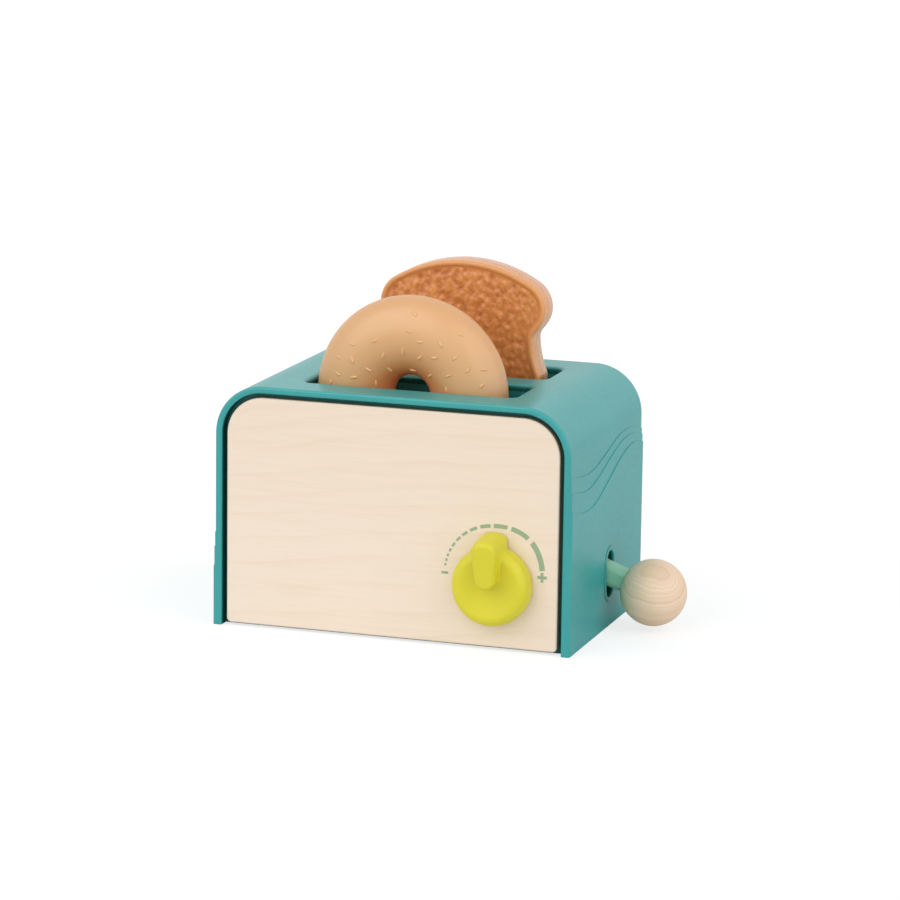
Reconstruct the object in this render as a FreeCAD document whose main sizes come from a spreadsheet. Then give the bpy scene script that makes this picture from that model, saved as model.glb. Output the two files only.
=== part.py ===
import FreeCAD, Part
import math
import os
import re

import Sketcher

# Play toaster with a see-saw lever, a bread tray, a click dial, a bagel and a slice of toast.
# Frame: X to the right, Y to the back, Z up; the origin is the bottom centre of the casing. Millimetres.

# Driving sizes: alias, value and what it measures. They fill the spreadsheet.
SIZES = (
    # casing
    ("body_width", 165.0, "casing, left to right"),
    ("body_depth", 114.0, "casing, front to back"),
    ("body_height", 110.0, "casing, bottom to top"),
    ("corner_radius", 22.2, "upper corners of the arch, outside"),
    ("shell_wall", 3.0, "wall of the casing"),
    ("ledge_width", 9.0, "frame that carries each board, seen from the front"),
    ("ledge_thickness", 3.0, "frame that carries each board, front to back"),
    ("ledge_corner", 8.0, "corners of the frame's window"),
    ("rim_round", 0.8, "inner edge of the rim in front of each board"),
    # wooden boards
    ("panel_inset", 1.0, "board's face behind the rim"),
    ("panel_thickness", 5.0, "board"),
    ("panel_gap", 2.2, "shadow gap between board and rim"),
    ("panel_lift", 1.4, "board above the bottom edge"),
    ("panel_bottom_corner", 2.0, "lower corners of the board"),
    ("panel_edge_round", 0.8, "edge rounding of the board"),
    # bread slots and their chute
    ("slot_play_left", 1.8, "bagel to the slot's left end"),
    ("slot_play_right", 7.1, "bagel to the slot's right end"),
    ("slot_width", 29.0, "bread slot, front to back"),
    ("slot_spacing", 46.4, "front slot to rear slot"),
    ("slot_corner", 4.0, "plan corners of a slot"),
    ("slot_land", 0.4, "upright wall left below a slot's rounded upper edge"),
    ("chute_wall", 1.6, "wall of the chute"),
    ("chute_clearance", 11.8, "lower end of the chute above the tray"),
    ("chute_flange", 2.4, "plate that joins both chutes"),
    ("chute_flange_margin", 12.0, "plate beyond the ends of the slots"),
    ("top_boss_radius", 3.5, "bosses under the top wall"),
    ("top_boss_height", 8.0, "bosses under the top wall"),
    ("top_boss_row", 24.0, "chute screws, in front of and behind the centre"),
    ("top_boss_margin", 7.6, "chute screws beyond the ends of the slots"),
    # base plate
    ("base_thickness", 3.0, "base plate"),
    ("base_gap", 0.3, "base plate to casing"),
    ("base_boss_radius", 4.5, "screw bosses in the lower corners"),
    ("base_boss_height", 16.0, "screw bosses in the lower corners"),
    ("base_boss_reach", 4.0, "boss centre inside the casing's inner faces"),
    # screws
    ("screw_radius", 1.25, "screw shank"),
    ("screw_head_radius", 2.6, "screw head"),
    ("screw_head_height", 1.8, "screw head"),
    ("screw_length", 9.5, "shank of a base, bracket or dial screw"),
    ("screw_play", 0.3, "clearance hole around a shank, on the radius"),
    ("screw_cover", 1.0, "wood left in front of a screw in a board"),
    ("chute_screw_length", 7.0, "shank of a chute screw"),
    ("panel_screw_low", 28.0, "lower board screws above the bottom"),
    ("panel_screw_drop", 27.0, "upper board screws below the ceiling"),
    # wave relief of the casing's sides
    ("wave_step", 0.35, "height of one step of the relief"),
    ("wave_left_drop", 37.5, "waves of the left side below those of the right side"),
    # lever
    ("pivot_inset", 13.0, "lever pivot inside the casing's right face"),
    ("ball_clearance", 2.29, "ball above the table when it is pressed"),
    ("lever_row", 4.5, "middle of the lever behind the centre"),
    ("lever_slope", 18.5, "lever at rest, degrees below level at the ball"),
    ("lever_swing", 14.0, "swing of the lever, degrees"),
    ("lever_width", 9.2, "arm and hub, front to back"),
    ("hub_radius", 7.0, "hub of the lever"),
    ("arm_root_height", 12.6, "arm at the hub"),
    ("arm_tip_height", 9.9, "arm at the ball"),
    ("arm_round", 3.2, "edge rounding of the arm"),
    ("tail_length", 71.0, "pivot to link pin"),
    ("tail_width", 6.0, "tail, front to back"),
    ("tail_height", 7.0, "tail"),
    ("tail_eye_radius", 4.2, "eye at the end of the tail"),
    ("side_slot_play", 0.9, "arm to its slot, each side"),
    ("side_slot_below", 15.7, "lower end of the slot for the arm below the pivot"),
    ("side_slot_above", 6.0, "upper end of the slot for the arm above the pivot"),
    ("ball_radius", 15.1, "wooden ball"),
    ("ball_reach", 36.6, "pivot to the ball's centre"),
    ("ball_flat", 1.4, "depth of the flat seat cut from the ball"),
    ("spigot_radius", 3.0, "peg of the arm in the ball"),
    ("spigot_length", 14.0, "peg of the arm in the ball"),
    ("pin_radius", 2.0, "lever pin"),
    ("pin_play", 0.05, "running clearance on the lever pin, on the radius"),
    ("pin_head_radius", 3.6, "head of the lever pin and its clip"),
    ("pin_head_height", 1.2, "head of the lever pin and its clip"),
    ("washer_thickness", 1.0, "friction washer"),
    ("washer_radius", 5.5, "friction washer"),
    ("washer_play", 0.05, "each side of the hub, along the pin"),
    ("ear_thickness", 5.0, "ears of the lever bracket"),
    ("ear_radius", 6.0, "ears of the lever bracket"),
    ("bracket_length", 18.0, "foot of the lever bracket"),
    ("bracket_foot", 3.0, "foot of the lever bracket"),
    # tray and its guides
    ("tray_thickness", 2.5, "tray"),
    ("link_room", 6.17, "link pin below the tray's plate"),
    ("tray_margin", 1.4, "tray inside the ends of the slots"),
    ("bread_gap", 0.3, "bread to tray"),
    ("cradle_web", 0.7, "least material under the bagel"),
    ("cradle_length", 62.0, "cradle of the bagel, left to right"),
    ("cradle_width", 12.0, "cradle of the bagel, front to back"),
    ("cradle_height", 9.0, "cradle above the tray"),
    ("channel_wall", 1.6, "walls of the toast channel"),
    ("channel_height", 9.0, "walls of the toast channel above the tray"),
    ("channel_floor", 4.3, "floor of the toast channel above the tray"),
    ("channel_play", 0.4, "toast to channel, each side"),
    ("rod_radius", 2.5, "guide rod"),
    ("rod_play", 0.1, "guide rod in its sleeve, on the radius"),
    ("rod_margin", 7.0, "guide rods beyond the ends of the slots"),
    ("rod_row", 12.0, "guide rods, in front of and behind the centre"),
    ("rod_socket", 6.0, "guide rod in its upper socket"),
    ("rod_post_radius", 5.0, "posts of the base plate"),
    ("rod_post_height", 8.0, "posts of the base plate"),
    ("sleeve_radius", 4.6, "sleeves of the tray"),
    ("sleeve_drop", 8.0, "sleeves below the tray"),
    ("sleeve_rise", 6.0, "sleeves above the tray"),
    ("link_pin_radius", 1.5, "link pin"),
    ("link_play", 0.3, "link pin in its slot, up and down"),
    ("link_run", 2.6, "link pin in its slot, each way along the slot"),
    ("lug_thickness", 3.0, "lugs of the tray"),
    ("lug_gap", 0.5, "lug to tail"),
    ("lug_length", 19.0, "lugs of the tray, left to right"),
    ("lug_below", 5.5, "lugs below the link pin"),
    ("link_pin_margin", 1.0, "link pin beyond each lug"),
    # dial
    ("dial_inset", 34.0, "dial axis inside the casing's right face"),
    ("dial_height", 30.0, "dial axis above the bottom"),
    ("dial_radius", 17.7, "knob"),
    ("dial_thickness", 10.0, "knob at its rim"),
    ("dial_round", 4.6, "rounded rim of the knob"),
    ("dial_rim", 5.0, "flat ring around the knob's hollow, rounding included"),
    ("dial_dish", 1.5, "hollow of the knob's face"),
    ("dial_gap", 0.5, "knob to board"),
    ("pointer_rise", 18.9, "pointer's ridge from the board, at its outer end"),
    ("pointer_fall", 3.0, "how much lower the ridge is at its inner end"),
    ("pointer_inner", 0.7, "pointer's inner end from the axis"),
    ("pointer_top", 23.7, "pointer's outer end from the axis"),
    ("pointer_wide", 12.2, "pointer at its outer end"),
    ("pointer_narrow", 7.9, "pointer at its inner end"),
    ("pointer_slant", 1.9, "slant of the pointer's outer end"),
    ("pointer_nose", 3.7, "corner radius of the pointer's inner end"),
    ("pointer_corner", 3.6, "corner radius of the pointer's outer end"),
    ("pointer_round", 1.2, "edge rounding of the pointer's ridge"),
    ("stem_radius", 4.0, "stem of the knob"),
    ("stem_play", 0.3, "stem in the board, on the radius"),
    ("key_radius", 3.4, "six-sided end of the stem, to its corners"),
    ("key_play", 0.05, "six-sided end in the click wheel"),
    ("wheel_radius", 11.0, "click wheel"),
    ("wheel_thickness", 2.5, "click wheel"),
    ("wheel_gap", 0.3, "click wheel to board"),
    ("wheel_teeth", 24, "notches of the click wheel"),
    ("notch_radius", 0.9, "notch of the click wheel"),
    ("dial_washer_radius", 5.0, "washer behind the click wheel"),
    ("dial_washer_thickness", 0.8, "washer behind the click wheel"),
    ("click_gap", 0.3, "click nub to click wheel"),
    ("click_nub_radius", 1.2, "click nub"),
    ("click_leaf", 1.2, "leaf of the click spring"),
    ("click_length", 22.0, "foot of the click spring, left to right"),
    ("click_foot_height", 7.0, "foot of the click spring"),
    ("click_foot_thickness", 2.5, "foot of the click spring, front to back"),
    ("click_space", 2.0, "leaf to foot"),
    ("click_screw_row", 6.5, "click spring screws, left and right of the dial axis"),
    # bagel
    ("bagel_radius", 44.3, "bagel, outside"),
    ("bagel_hole", 8.7, "hole of the bagel"),
    ("bagel_play", 1.5, "bagel to its slot, each side"),
    ("bagel_wall", 2.4, "wall of the bagel"),
    ("bagel_left", 1.4, "bagel's centre left of the casing's centre"),
    # toast
    ("toast_thickness", 14.0, "toast, front to back"),
    ("toast_right", 8.1, "toast's centre right of the casing's centre"),
    ("toast_height", 95.2, "toast, bottom to top"),
    ("toast_dome", 62.0, "radius of the toast's top"),
    ("lobe_radius", 13.5, "shoulders of the toast"),
    ("lobe_half", 39.1, "half the width over the shoulders"),
    ("neck_half", 33.3, "half the width at the neck"),
    ("toast_base_half", 37.2, "half the width at the base"),
    ("flank_drop", 51.0, "end of the flank below the top"),
    ("flank_bow", 1.0, "bow of the flank"),
    ("toast_corner", 5.0, "lower corners of the toast"),
    ("crust_width", 2.5, "raised crust around the crumb"),
    ("crumb_depth", 0.9, "crumb below the crust"),
    ("toast_wall", 2.0, "wall of the toast"),
    ("crust_round", 1.1, "edge rounding of the crust"),
    ("neck_round", 2.4, "rounding of the neck"),
)

# The three relief waves of the right side: how far each runs below the shoulder, where the upper corner
# begins, at five stations from the front to the back, and the place of its crest as a share of half the
# depth.
WAVE_STATIONS = ("front", "trough", "middle", "crest", "back")
WAVES = {
    "upper": ((7.5, 11.0, 7.5, 2.1, 6.6), 0.49),
    "mid": ((14.2, 17.6, 12.3, 5.6, 9.3), 0.60),
    "lower": ((22.9, 27.0, 21.2, 10.3, 12.8), 0.75),
}
WAVE_TROUGH_SHARE = -0.45
WAVE_MIDDLE_SHARE = -0.05

# Places that follow from the driving sizes: name and expression.
PLACES = (
    ("half_width", "body_width / 2"),
    ("half_depth", "body_depth / 2"),
    ("inner_half", "half_width - shell_wall"),
    ("ceiling", "body_height - shell_wall"),
    ("panel_face", "half_depth - panel_inset"),
    ("panel_back", "panel_face - panel_thickness"),
    ("panel_half", "inner_half - panel_gap"),
    ("panel_top", "ceiling - panel_gap"),
    ("inner_corner", "corner_radius - shell_wall"),
    ("panel_corner", "inner_corner - panel_gap"),
    ("shoulder", "body_height - corner_radius"),
    ("ledge_back", "panel_back - ledge_thickness"),
    ("window_half", "inner_half - ledge_width"),
    ("window_top", "ceiling - ledge_width"),
    ("panel_screw_reach", "inner_half - ledge_width / 2"),
    ("panel_screw_high", "ceiling - panel_screw_drop"),
    ("panel_screw_length", "ledge_thickness + panel_thickness - screw_cover"),
    ("slot_left", "-bagel_left - bagel_radius - slot_play_left"),
    ("slot_right", "bagel_radius - bagel_left + slot_play_right"),
    ("slot_round", "shell_wall - slot_land"),
    ("slot_row", "slot_spacing / 2"),
    ("top_boss_bottom", "ceiling - top_boss_height"),
    ("flange_bottom", "top_boss_bottom - chute_flange"),
    ("base_boss_x", "inner_half - base_boss_reach"),
    ("base_boss_y", "ledge_back - base_boss_reach"),
    ("lever_half", "lever_width / 2"),
    ("ear_inner", "lever_half + washer_thickness + 2 * washer_play"),
    ("ear_outer", "ear_inner + ear_thickness"),
    ("pivot_reach", "half_width - pivot_inset"),
    ("pivot_height", "ball_clearance + ball_radius + ball_reach * sin(lever_slope)"),
    ("ball_seat", "ball_radius - ball_flat"),
    ("arm_length", "ball_reach - ball_seat"),
    ("side_slot_width", "lever_width + 2 * side_slot_play"),
    ("side_slot_low", "pivot_height - side_slot_below"),
    ("side_slot_high", "pivot_height + side_slot_above"),
    ("rod_left", "slot_left - rod_margin"),
    ("rod_right", "slot_right + rod_margin"),
    ("link_height", "pivot_height + tail_length * sin(lever_slope)"),
    ("link_x", "pivot_reach - tail_length * cos(lever_slope)"),
    ("link_x_down", "pivot_reach - tail_length * cos(lever_slope - lever_swing)"),
    ("link_middle", "(link_x + link_x_down) / 2"),
    ("tray_bottom", "link_height + link_room"),
    ("tray_top", "tray_bottom + tray_thickness"),
    ("tray_left", "slot_left + tray_margin"),
    ("tray_right", "slot_right - tray_margin"),
    ("tray_depth", "slot_spacing + slot_width - tray_margin"),
    ("chute_bottom", "tray_top + chute_clearance"),
    ("chute_length", "ceiling - chute_bottom"),
    ("bagel_row", "-slot_row"),
    ("bagel_thickness", "slot_width - 2 * bagel_play"),
    ("bagel_height", "tray_top + cradle_web + bread_gap + bagel_radius"),
    ("toast_row", "slot_row"),
    ("toast_bottom", "tray_top + channel_floor + bread_gap"),
    ("toast_top", "toast_bottom + toast_height"),
    ("channel_half", "toast_thickness / 2 + channel_play"),
    ("lug_inner", "tail_width / 2 + lug_gap"),
    ("lug_outer", "lug_inner + lug_thickness"),
    ("dial_right", "half_width - dial_inset"),
    ("click_screw_length", "click_foot_thickness + panel_thickness - screw_cover"),
    ("dial_back", "panel_face + dial_gap"),
    ("dial_front", "dial_back + dial_thickness"),
    ("pointer_front", "panel_face + pointer_rise"),
    ("wheel_front", "panel_back - wheel_gap"),
    ("wheel_back", "wheel_front - wheel_thickness"),
    ("dial_washer_back", "wheel_back - dial_washer_thickness"),
    ("nub_bottom", "dial_height + wheel_radius + click_gap"),
    ("leaf_bottom", "nub_bottom + click_nub_radius"),
    ("click_foot_bottom", "leaf_bottom + click_leaf + click_space"),
    ("click_screw_height", "click_foot_bottom + click_foot_height / 2"),
    ("click_foot_back", "panel_back - click_foot_thickness"),
)

AXIS_TURNS = {
    "+Z": FreeCAD.Rotation(),
    "-Z": FreeCAD.Rotation(FreeCAD.Vector(1, 0, 0), 180),
    "+Y": FreeCAD.Rotation(FreeCAD.Vector(1, 0, 0), -90),
    "-Y": FreeCAD.Rotation(FreeCAD.Vector(1, 0, 0), 90),
    "+X": FreeCAD.Rotation(FreeCAD.Vector(0, 1, 0), 90),
}
NEAR = 1e-4
OVERRUN = 1.0       # how far a cutting tool runs past the face that it cuts through

doc = FreeCAD.newDocument("PlayToaster")
nodes = []


# ---------------------------------------------------------------- sizes and places

def make_sheet():
    """Fill the spreadsheet with the driving sizes and the drops of the relief waves."""
    sheet = doc.addObject("Spreadsheet::Sheet", "Sizes")
    rows = list(SIZES)
    for wave, (drops, crest_share) in WAVES.items():
        for station, drop in zip(WAVE_STATIONS, drops):
            rows.append((f"wave_{wave}_{station}", drop, f"{wave} wave at its {station}, from the shoulder"))
    for row, (alias, value, meaning) in enumerate(rows, 1):
        sheet.set(f"A{row}", meaning)
        sheet.set(f"B{row}", str(value))
        sheet.setAlias(f"B{row}", alias)
    doc.recompute()
    return {alias for alias, value, meaning in rows}


def make_places():
    """Work out the derived places in a variable set, each from an expression."""
    places = doc.addObject("App::VarSet", "Places")
    for name, text in PLACES:
        places.addProperty("App::PropertyFloat", name)
        places.setExpression(name, linked(text))
    doc.recompute()
    return places


def linked(text):
    """Return an expression with every size and place written as a reference to its owner."""
    def owner(match):
        word = match.group(0)
        if word in size_names:
            return f"Sizes.{word}"
        if word in place_names:
            return f"Places.{word}"
        return word
    return re.sub(r"[A-Za-z_]\w*", owner, text)


def size(name):
    """Return one driving size or place as a number."""
    if name in place_names:
        return float(getattr(doc.Places, name))
    return float(doc.Sizes.get(name))


def bind(item, **expressions):
    """Bind properties of a document object to expressions of sizes and places."""
    for prop, text in expressions.items():
        item.setExpression(prop, linked(text))


def put(item, x="0", y="0", z="0"):
    """Bind the position of a document object."""
    for axis, text in zip("xyz", (x, y, z)):
        item.setExpression(f"Placement.Base.{axis}", linked(text))


def keep(item, label):
    """Label a document object as a finished sub-part."""
    item.Label = label
    nodes.append(item)
    return item


# ---------------------------------------------------------------- Part primitives

def box(name, x, y, z):
    """Make a box from the two limits of each axis, given as pairs of expressions."""
    item = doc.addObject("Part::Box", name)
    for prop, (low, high) in zip(("Length", "Width", "Height"), (x, y, z)):
        item.setExpression(prop, linked(f"({high}) - ({low})"))
    put(item, x[0], y[0], z[0])
    return item


def rod(name, start, axis, radius, length):
    """Make a cylinder that starts at a point and runs along one of the main axes."""
    item = doc.addObject("Part::Cylinder", name)
    item.Placement = FreeCAD.Placement(FreeCAD.Vector(), AXIS_TURNS[axis])
    bind(item, Radius=radius, Height=length)
    put(item, *start)
    return item


def cut(name, base, *tools):
    """Subtract tools from a base."""
    item = doc.addObject("Part::Cut", name)
    item.Base = base
    item.Tool = tools[0] if len(tools) == 1 else unite(f"{name}_tools", *tools)
    return item


def unite(name, *items):
    """Join several shapes into one solid."""
    joined = doc.addObject("Part::MultiFuse", name)
    joined.Shapes = list(items)
    joined.Refine = True
    return joined


def group(label, items):
    """Keep several separate solids as one sub-part."""
    compound = doc.addObject("Part::Compound", label)
    compound.Links = list(items)
    return keep(compound, label)


def ring(name, start, axis, outer, inner, length):
    """Make a flat ring."""
    disc = rod(f"{name}_disc", start, axis, outer, length)
    hole = rod(f"{name}_hole", start, axis, inner, length)
    return cut(name, disc, hole)


def stadium(name, x, y_middle, width, low, high):
    """Make a slot-shaped block along X with round lower and upper ends."""
    half = f"({width}) / 2"
    depth = f"({x[1]}) - ({x[0]})"
    sides = (f"({y_middle}) - {half}", f"({y_middle}) + {half}")
    middle = box(f"{name}_middle", x, sides, (f"({low}) + {half}", f"({high}) - {half}"))
    lower = rod(f"{name}_lower", (x[0], y_middle, f"({low}) + {half}"), "+X", half, depth)
    upper = rod(f"{name}_upper", (x[0], y_middle, f"({high}) - {half}"), "+X", half, depth)
    return unite(name, middle, lower, upper)


def screw(name, seat, axis, length):
    """Make a screw whose head rests on its seat and whose shank runs along the axis."""
    behind = {"+Z": (0, 0, -1), "+Y": (0, -1, 0), "-Y": (0, 1, 0)}[axis]
    start = [f"({text}) + {step} * screw_head_height" for text, step in zip(seat, behind)]
    head = rod(f"{name}_head", start, axis, "screw_head_radius", "screw_head_height")
    shank = rod(f"{name}_shank", seat, axis, "screw_radius", length)
    return unite(name, head, shank)


# ---------------------------------------------------------------- PartDesign helpers

def new_body(name):
    """Make an empty body."""
    return doc.addObject("PartDesign::Body", name)


def new_sketch(body, name, role, offset="0"):
    """Attach a sketch to one of the body's own origin planes."""
    plane = next(item for item in body.Origin.OriginFeatures if item.Role == role)
    sketch = body.newObject("Sketcher::SketchObject", name)
    sketch.AttachmentSupport = [(plane, "")]
    sketch.MapMode = "FlatFace"
    sketch.setExpression("AttachmentOffset.Base.z", linked(offset))
    return sketch


def constrain(sketch, name, text, *definition, start=1.0):
    """Add a constraint and bind its value."""
    index = sketch.addConstraint(Sketcher.Constraint(*definition, start))
    sketch.renameConstraint(index, name)
    sketch.setExpression(f"Constraints.{name}", linked(text))


def rectangle(sketch, x, y, name="box"):
    """Draw a rectangle between two limits on each sketch axis."""
    corners = [FreeCAD.Vector(*point) for point in ((1, 1), (2, 1), (2, 2), (1, 2))]
    first = sketch.GeometryCount
    for start, end in zip(corners, corners[1:] + corners[:1]):
        sketch.addGeometry(Part.LineSegment(start, end), False)
    for side in range(4):
        following = first + (side + 1) % 4
        sketch.addConstraint(Sketcher.Constraint("Coincident", first + side, 2, following, 1))
        direction = "Horizontal" if side % 2 == 0 else "Vertical"
        sketch.addConstraint(Sketcher.Constraint(direction, first + side))
    constrain(sketch, f"{name}_left", x[0], "DistanceX", -1, 1, first, 1)
    constrain(sketch, f"{name}_low", y[0], "DistanceY", -1, 1, first, 1)
    constrain(sketch, f"{name}_right", x[1], "DistanceX", -1, 1, first + 2, 1)
    constrain(sketch, f"{name}_high", y[1], "DistanceY", -1, 1, first + 2, 1)
    return sketch


def arch(sketch, half, high, radius, low=0.0):
    """Draw an upright outline with two round upper corners, from the names of its sizes."""
    side, top, bend = size(half), size(high), size(radius)
    normal = FreeCAD.Vector(0, 0, 1)
    spring = top - bend
    right = Part.Circle(FreeCAD.Vector(side - bend, spring), normal, bend)
    left = Part.Circle(FreeCAD.Vector(bend - side, spring), normal, bend)
    outline = (
        Part.LineSegment(FreeCAD.Vector(-side, low), FreeCAD.Vector(side, low)),
        Part.LineSegment(FreeCAD.Vector(side, low), FreeCAD.Vector(side, spring)),
        Part.ArcOfCircle(right, 0, math.pi / 2),
        Part.LineSegment(FreeCAD.Vector(side - bend, top), FreeCAD.Vector(bend - side, top)),
        Part.ArcOfCircle(left, math.pi / 2, math.pi),
        Part.LineSegment(FreeCAD.Vector(-side, spring), FreeCAD.Vector(-side, low)),
    )
    for edge in outline:
        sketch.addGeometry(edge, False)
    for first, second in ((0, 1), (5, 0)):
        sketch.addConstraint(Sketcher.Constraint("Coincident", first, 2, second, 1))
    for first, second in ((1, 2), (2, 3), (3, 4), (4, 5)):
        sketch.addConstraint(Sketcher.Constraint("Tangent", first, 2, second, 1))
    sketch.addConstraint(Sketcher.Constraint("Horizontal", 0))
    sketch.addConstraint(Sketcher.Constraint("Vertical", 1))
    sketch.addConstraint(Sketcher.Constraint("Vertical", 5))
    constrain(sketch, "left", f"-{half}", "DistanceX", -1, 1, 0, 1, start=-side)
    constrain(sketch, "right", half, "DistanceX", -1, 1, 0, 2, start=side)
    constrain(sketch, "low", str(low), "DistanceY", -1, 1, 0, 1, start=low)
    constrain(sketch, "high", high, "DistanceY", -1, 1, 3, 1, start=top)
    constrain(sketch, "bend_right", radius, "Radius", 2, start=bend)
    constrain(sketch, "bend_left", radius, "Radius", 4, start=bend)
    return sketch


def circle(sketch, x, y, radius, name="round"):
    """Draw a circle."""
    index = sketch.addGeometry(Part.Circle(FreeCAD.Vector(1, 1), FreeCAD.Vector(0, 0, 1), 1), False)
    constrain(sketch, f"{name}_radius", radius, "Radius", index)
    constrain(sketch, f"{name}_x", x, "DistanceX", -1, 1, index, 3)
    constrain(sketch, f"{name}_y", y, "DistanceY", -1, 1, index, 3)
    return sketch


def polygon(sketch, points, name="corner"):
    """Draw a closed polygon, each corner placed by its own two dimensions."""
    count = len(points)
    first = sketch.GeometryCount
    for side in range(count):
        start = 2 * math.pi * side / count
        end = 2 * math.pi * (side + 1) / count
        ends = [FreeCAD.Vector(math.cos(angle), math.sin(angle)) for angle in (start, end)]
        sketch.addGeometry(Part.LineSegment(*ends), False)
    for side, (x, y) in enumerate(points):
        following = first + (side + 1) % count
        sketch.addConstraint(Sketcher.Constraint("Coincident", first + side, 2, following, 1))
        constrain(sketch, f"{name}{side}_x", x, "DistanceX", -1, 1, first + side, 1)
        constrain(sketch, f"{name}{side}_y", y, "DistanceY", -1, 1, first + side, 1)
    return sketch


def pad(body, sketch, length, middle=False, flip=False):
    """Pad a sketch, to both sides or one."""
    feature = body.newObject("PartDesign::Pad", f"{sketch.Name}_pad")
    feature.Profile = sketch
    feature.setExpression("Length", linked(length))
    feature.Midplane = middle
    feature.Reversed = flip
    return feature


def pocket(body, sketch, length, middle=False, flip=False):
    """Pocket a sketch, to both sides or one."""
    feature = body.newObject("PartDesign::Pocket", f"{sketch.Name}_pocket")
    feature.Profile = sketch
    feature.setExpression("Length", linked(length))
    feature.Midplane = middle
    feature.Reversed = flip
    return feature


def round_edges(body, name, radius, wanted):
    """Fillet the edges of the body's last feature that a test picks."""
    doc.recompute()
    feature = body.Tip
    names = [f"Edge{index}" for index, edge in enumerate(feature.Shape.Edges, 1) if wanted(edge)]
    fillet = body.newObject("PartDesign::Fillet", name)
    fillet.Base = (feature, names)
    fillet.setExpression("Radius", linked(radius))
    return fillet


def same(value, *targets):
    """Tell whether a coordinate lies on one of the targets."""
    return any(abs(value - target) < NEAR for target in targets)


def straight_along(edge, axis):
    """Tell whether an edge is a straight line along one main axis."""
    if not isinstance(edge.Curve, (Part.Line, Part.LineSegment)):
        return False
    direction = edge.Vertexes[-1].Point - edge.Vertexes[0].Point
    return abs(getattr(direction, axis)) > direction.Length - NEAR


def lies_in(edge, axis, *targets):
    """Tell whether a whole edge lies in one of the planes across an axis."""
    limits = edge.BoundBox
    low, high = getattr(limits, f"{axis.upper()}Min"), getattr(limits, f"{axis.upper()}Max")
    return high - low < NEAR and same(low, *targets)


# ---------------------------------------------------------------- casing

def shell_cavity(body):
    """Hollow the casing: a recess for each board, the inner space and the windows of the frames."""
    profile = ("inner_half", "ceiling", "inner_corner", -OVERRUN)
    front = arch(new_sketch(body, "front_recess", "XZ_Plane", "half_depth"), *profile)
    pocket(body, front, "half_depth - panel_back")
    back = arch(new_sketch(body, "back_recess", "XZ_Plane", "-half_depth"), *profile)
    pocket(body, back, "half_depth - panel_back", flip=True)
    space = arch(new_sketch(body, "inner_space", "XZ_Plane"), *profile)
    pocket(body, space, "2 * ledge_back", middle=True)
    window = rectangle(new_sketch(body, "windows", "XZ_Plane"),
                       ("-window_half", "window_half"), ("ledge_width", "window_top"))
    pocket(body, window, "body_depth", middle=True)
    half = size("window_half")
    round_edges(body, "window_corners", "ledge_corner",
                lambda edge: straight_along(edge, "y") and lies_in(edge, "x", -half, half))
    rims, reach = size("half_depth"), size("inner_half") + NEAR
    round_edges(body, "rim_rounds", "rim_round",
                lambda edge: lies_in(edge, "y", -rims, rims) and edge.BoundBox.ZMin > -NEAR
                and edge.BoundBox.ZMax > NEAR
                and max(abs(edge.BoundBox.XMin), abs(edge.BoundBox.XMax)) < reach)


def shell_bosses(body):
    """Add the screw bosses and the rod sockets inside the casing."""
    foot = new_sketch(body, "base_bosses", "XY_Plane", "base_thickness")
    foot_holes = new_sketch(body, "base_pilots", "XY_Plane", "base_thickness")
    for number, (x, y) in enumerate(base_screw_places()):
        circle(foot, x, y, "base_boss_radius", f"boss{number}")
        circle(foot_holes, x, y, "screw_radius", f"pilot{number}")
    pad(body, foot, "base_boss_height")
    pocket(body, foot_holes, "screw_length", flip=True)
    top = new_sketch(body, "top_bosses", "XY_Plane", "top_boss_bottom")
    pilots = new_sketch(body, "top_pilots", "XY_Plane", "top_boss_bottom")
    for number, (x, y) in enumerate(chute_screw_places()):
        circle(top, x, y, "top_boss_radius", f"boss{number}")
        circle(pilots, x, y, "screw_radius", f"pilot{number}")
    sockets = new_sketch(body, "rod_sockets", "XY_Plane", "top_boss_bottom")
    for number, (x, y) in enumerate(rod_places()):
        circle(top, x, y, "rod_post_radius", f"post{number}")
        circle(sockets, x, y, "rod_radius", f"socket{number}")
    pad(body, top, "top_boss_height")
    pocket(body, pilots, "chute_screw_length - chute_flange", flip=True)
    pocket(body, sockets, "rod_socket", flip=True)


def shell_slots(body):
    """Cut both bread slots through the top and round their edges."""
    slots = new_sketch(body, "bread_slots", "XY_Plane", "body_height")
    rows = ("-slot_row", "slot_row")
    for number, row in enumerate(rows):
        rectangle(slots, ("slot_left", "slot_right"),
                  (f"{row} - slot_width / 2", f"{row} + slot_width / 2"), f"slot{number}")
    pocket(body, slots, "shell_wall")
    ends = (size("slot_left"), size("slot_right"))
    round_edges(body, "slot_corners", "slot_corner",
                lambda edge: straight_along(edge, "z") and lies_in(edge, "x", *ends))
    top = size("body_height")
    reach = size("slot_row") + size("slot_width") / 2 + NEAR
    round_edges(body, "slot_rounds", "slot_round",
                lambda edge: lies_in(edge, "z", top) and edge.BoundBox.XMin > ends[0] - NEAR
                and edge.BoundBox.XMax < ends[1] + NEAR
                and max(abs(edge.BoundBox.YMin), abs(edge.BoundBox.YMax)) < reach)


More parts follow.
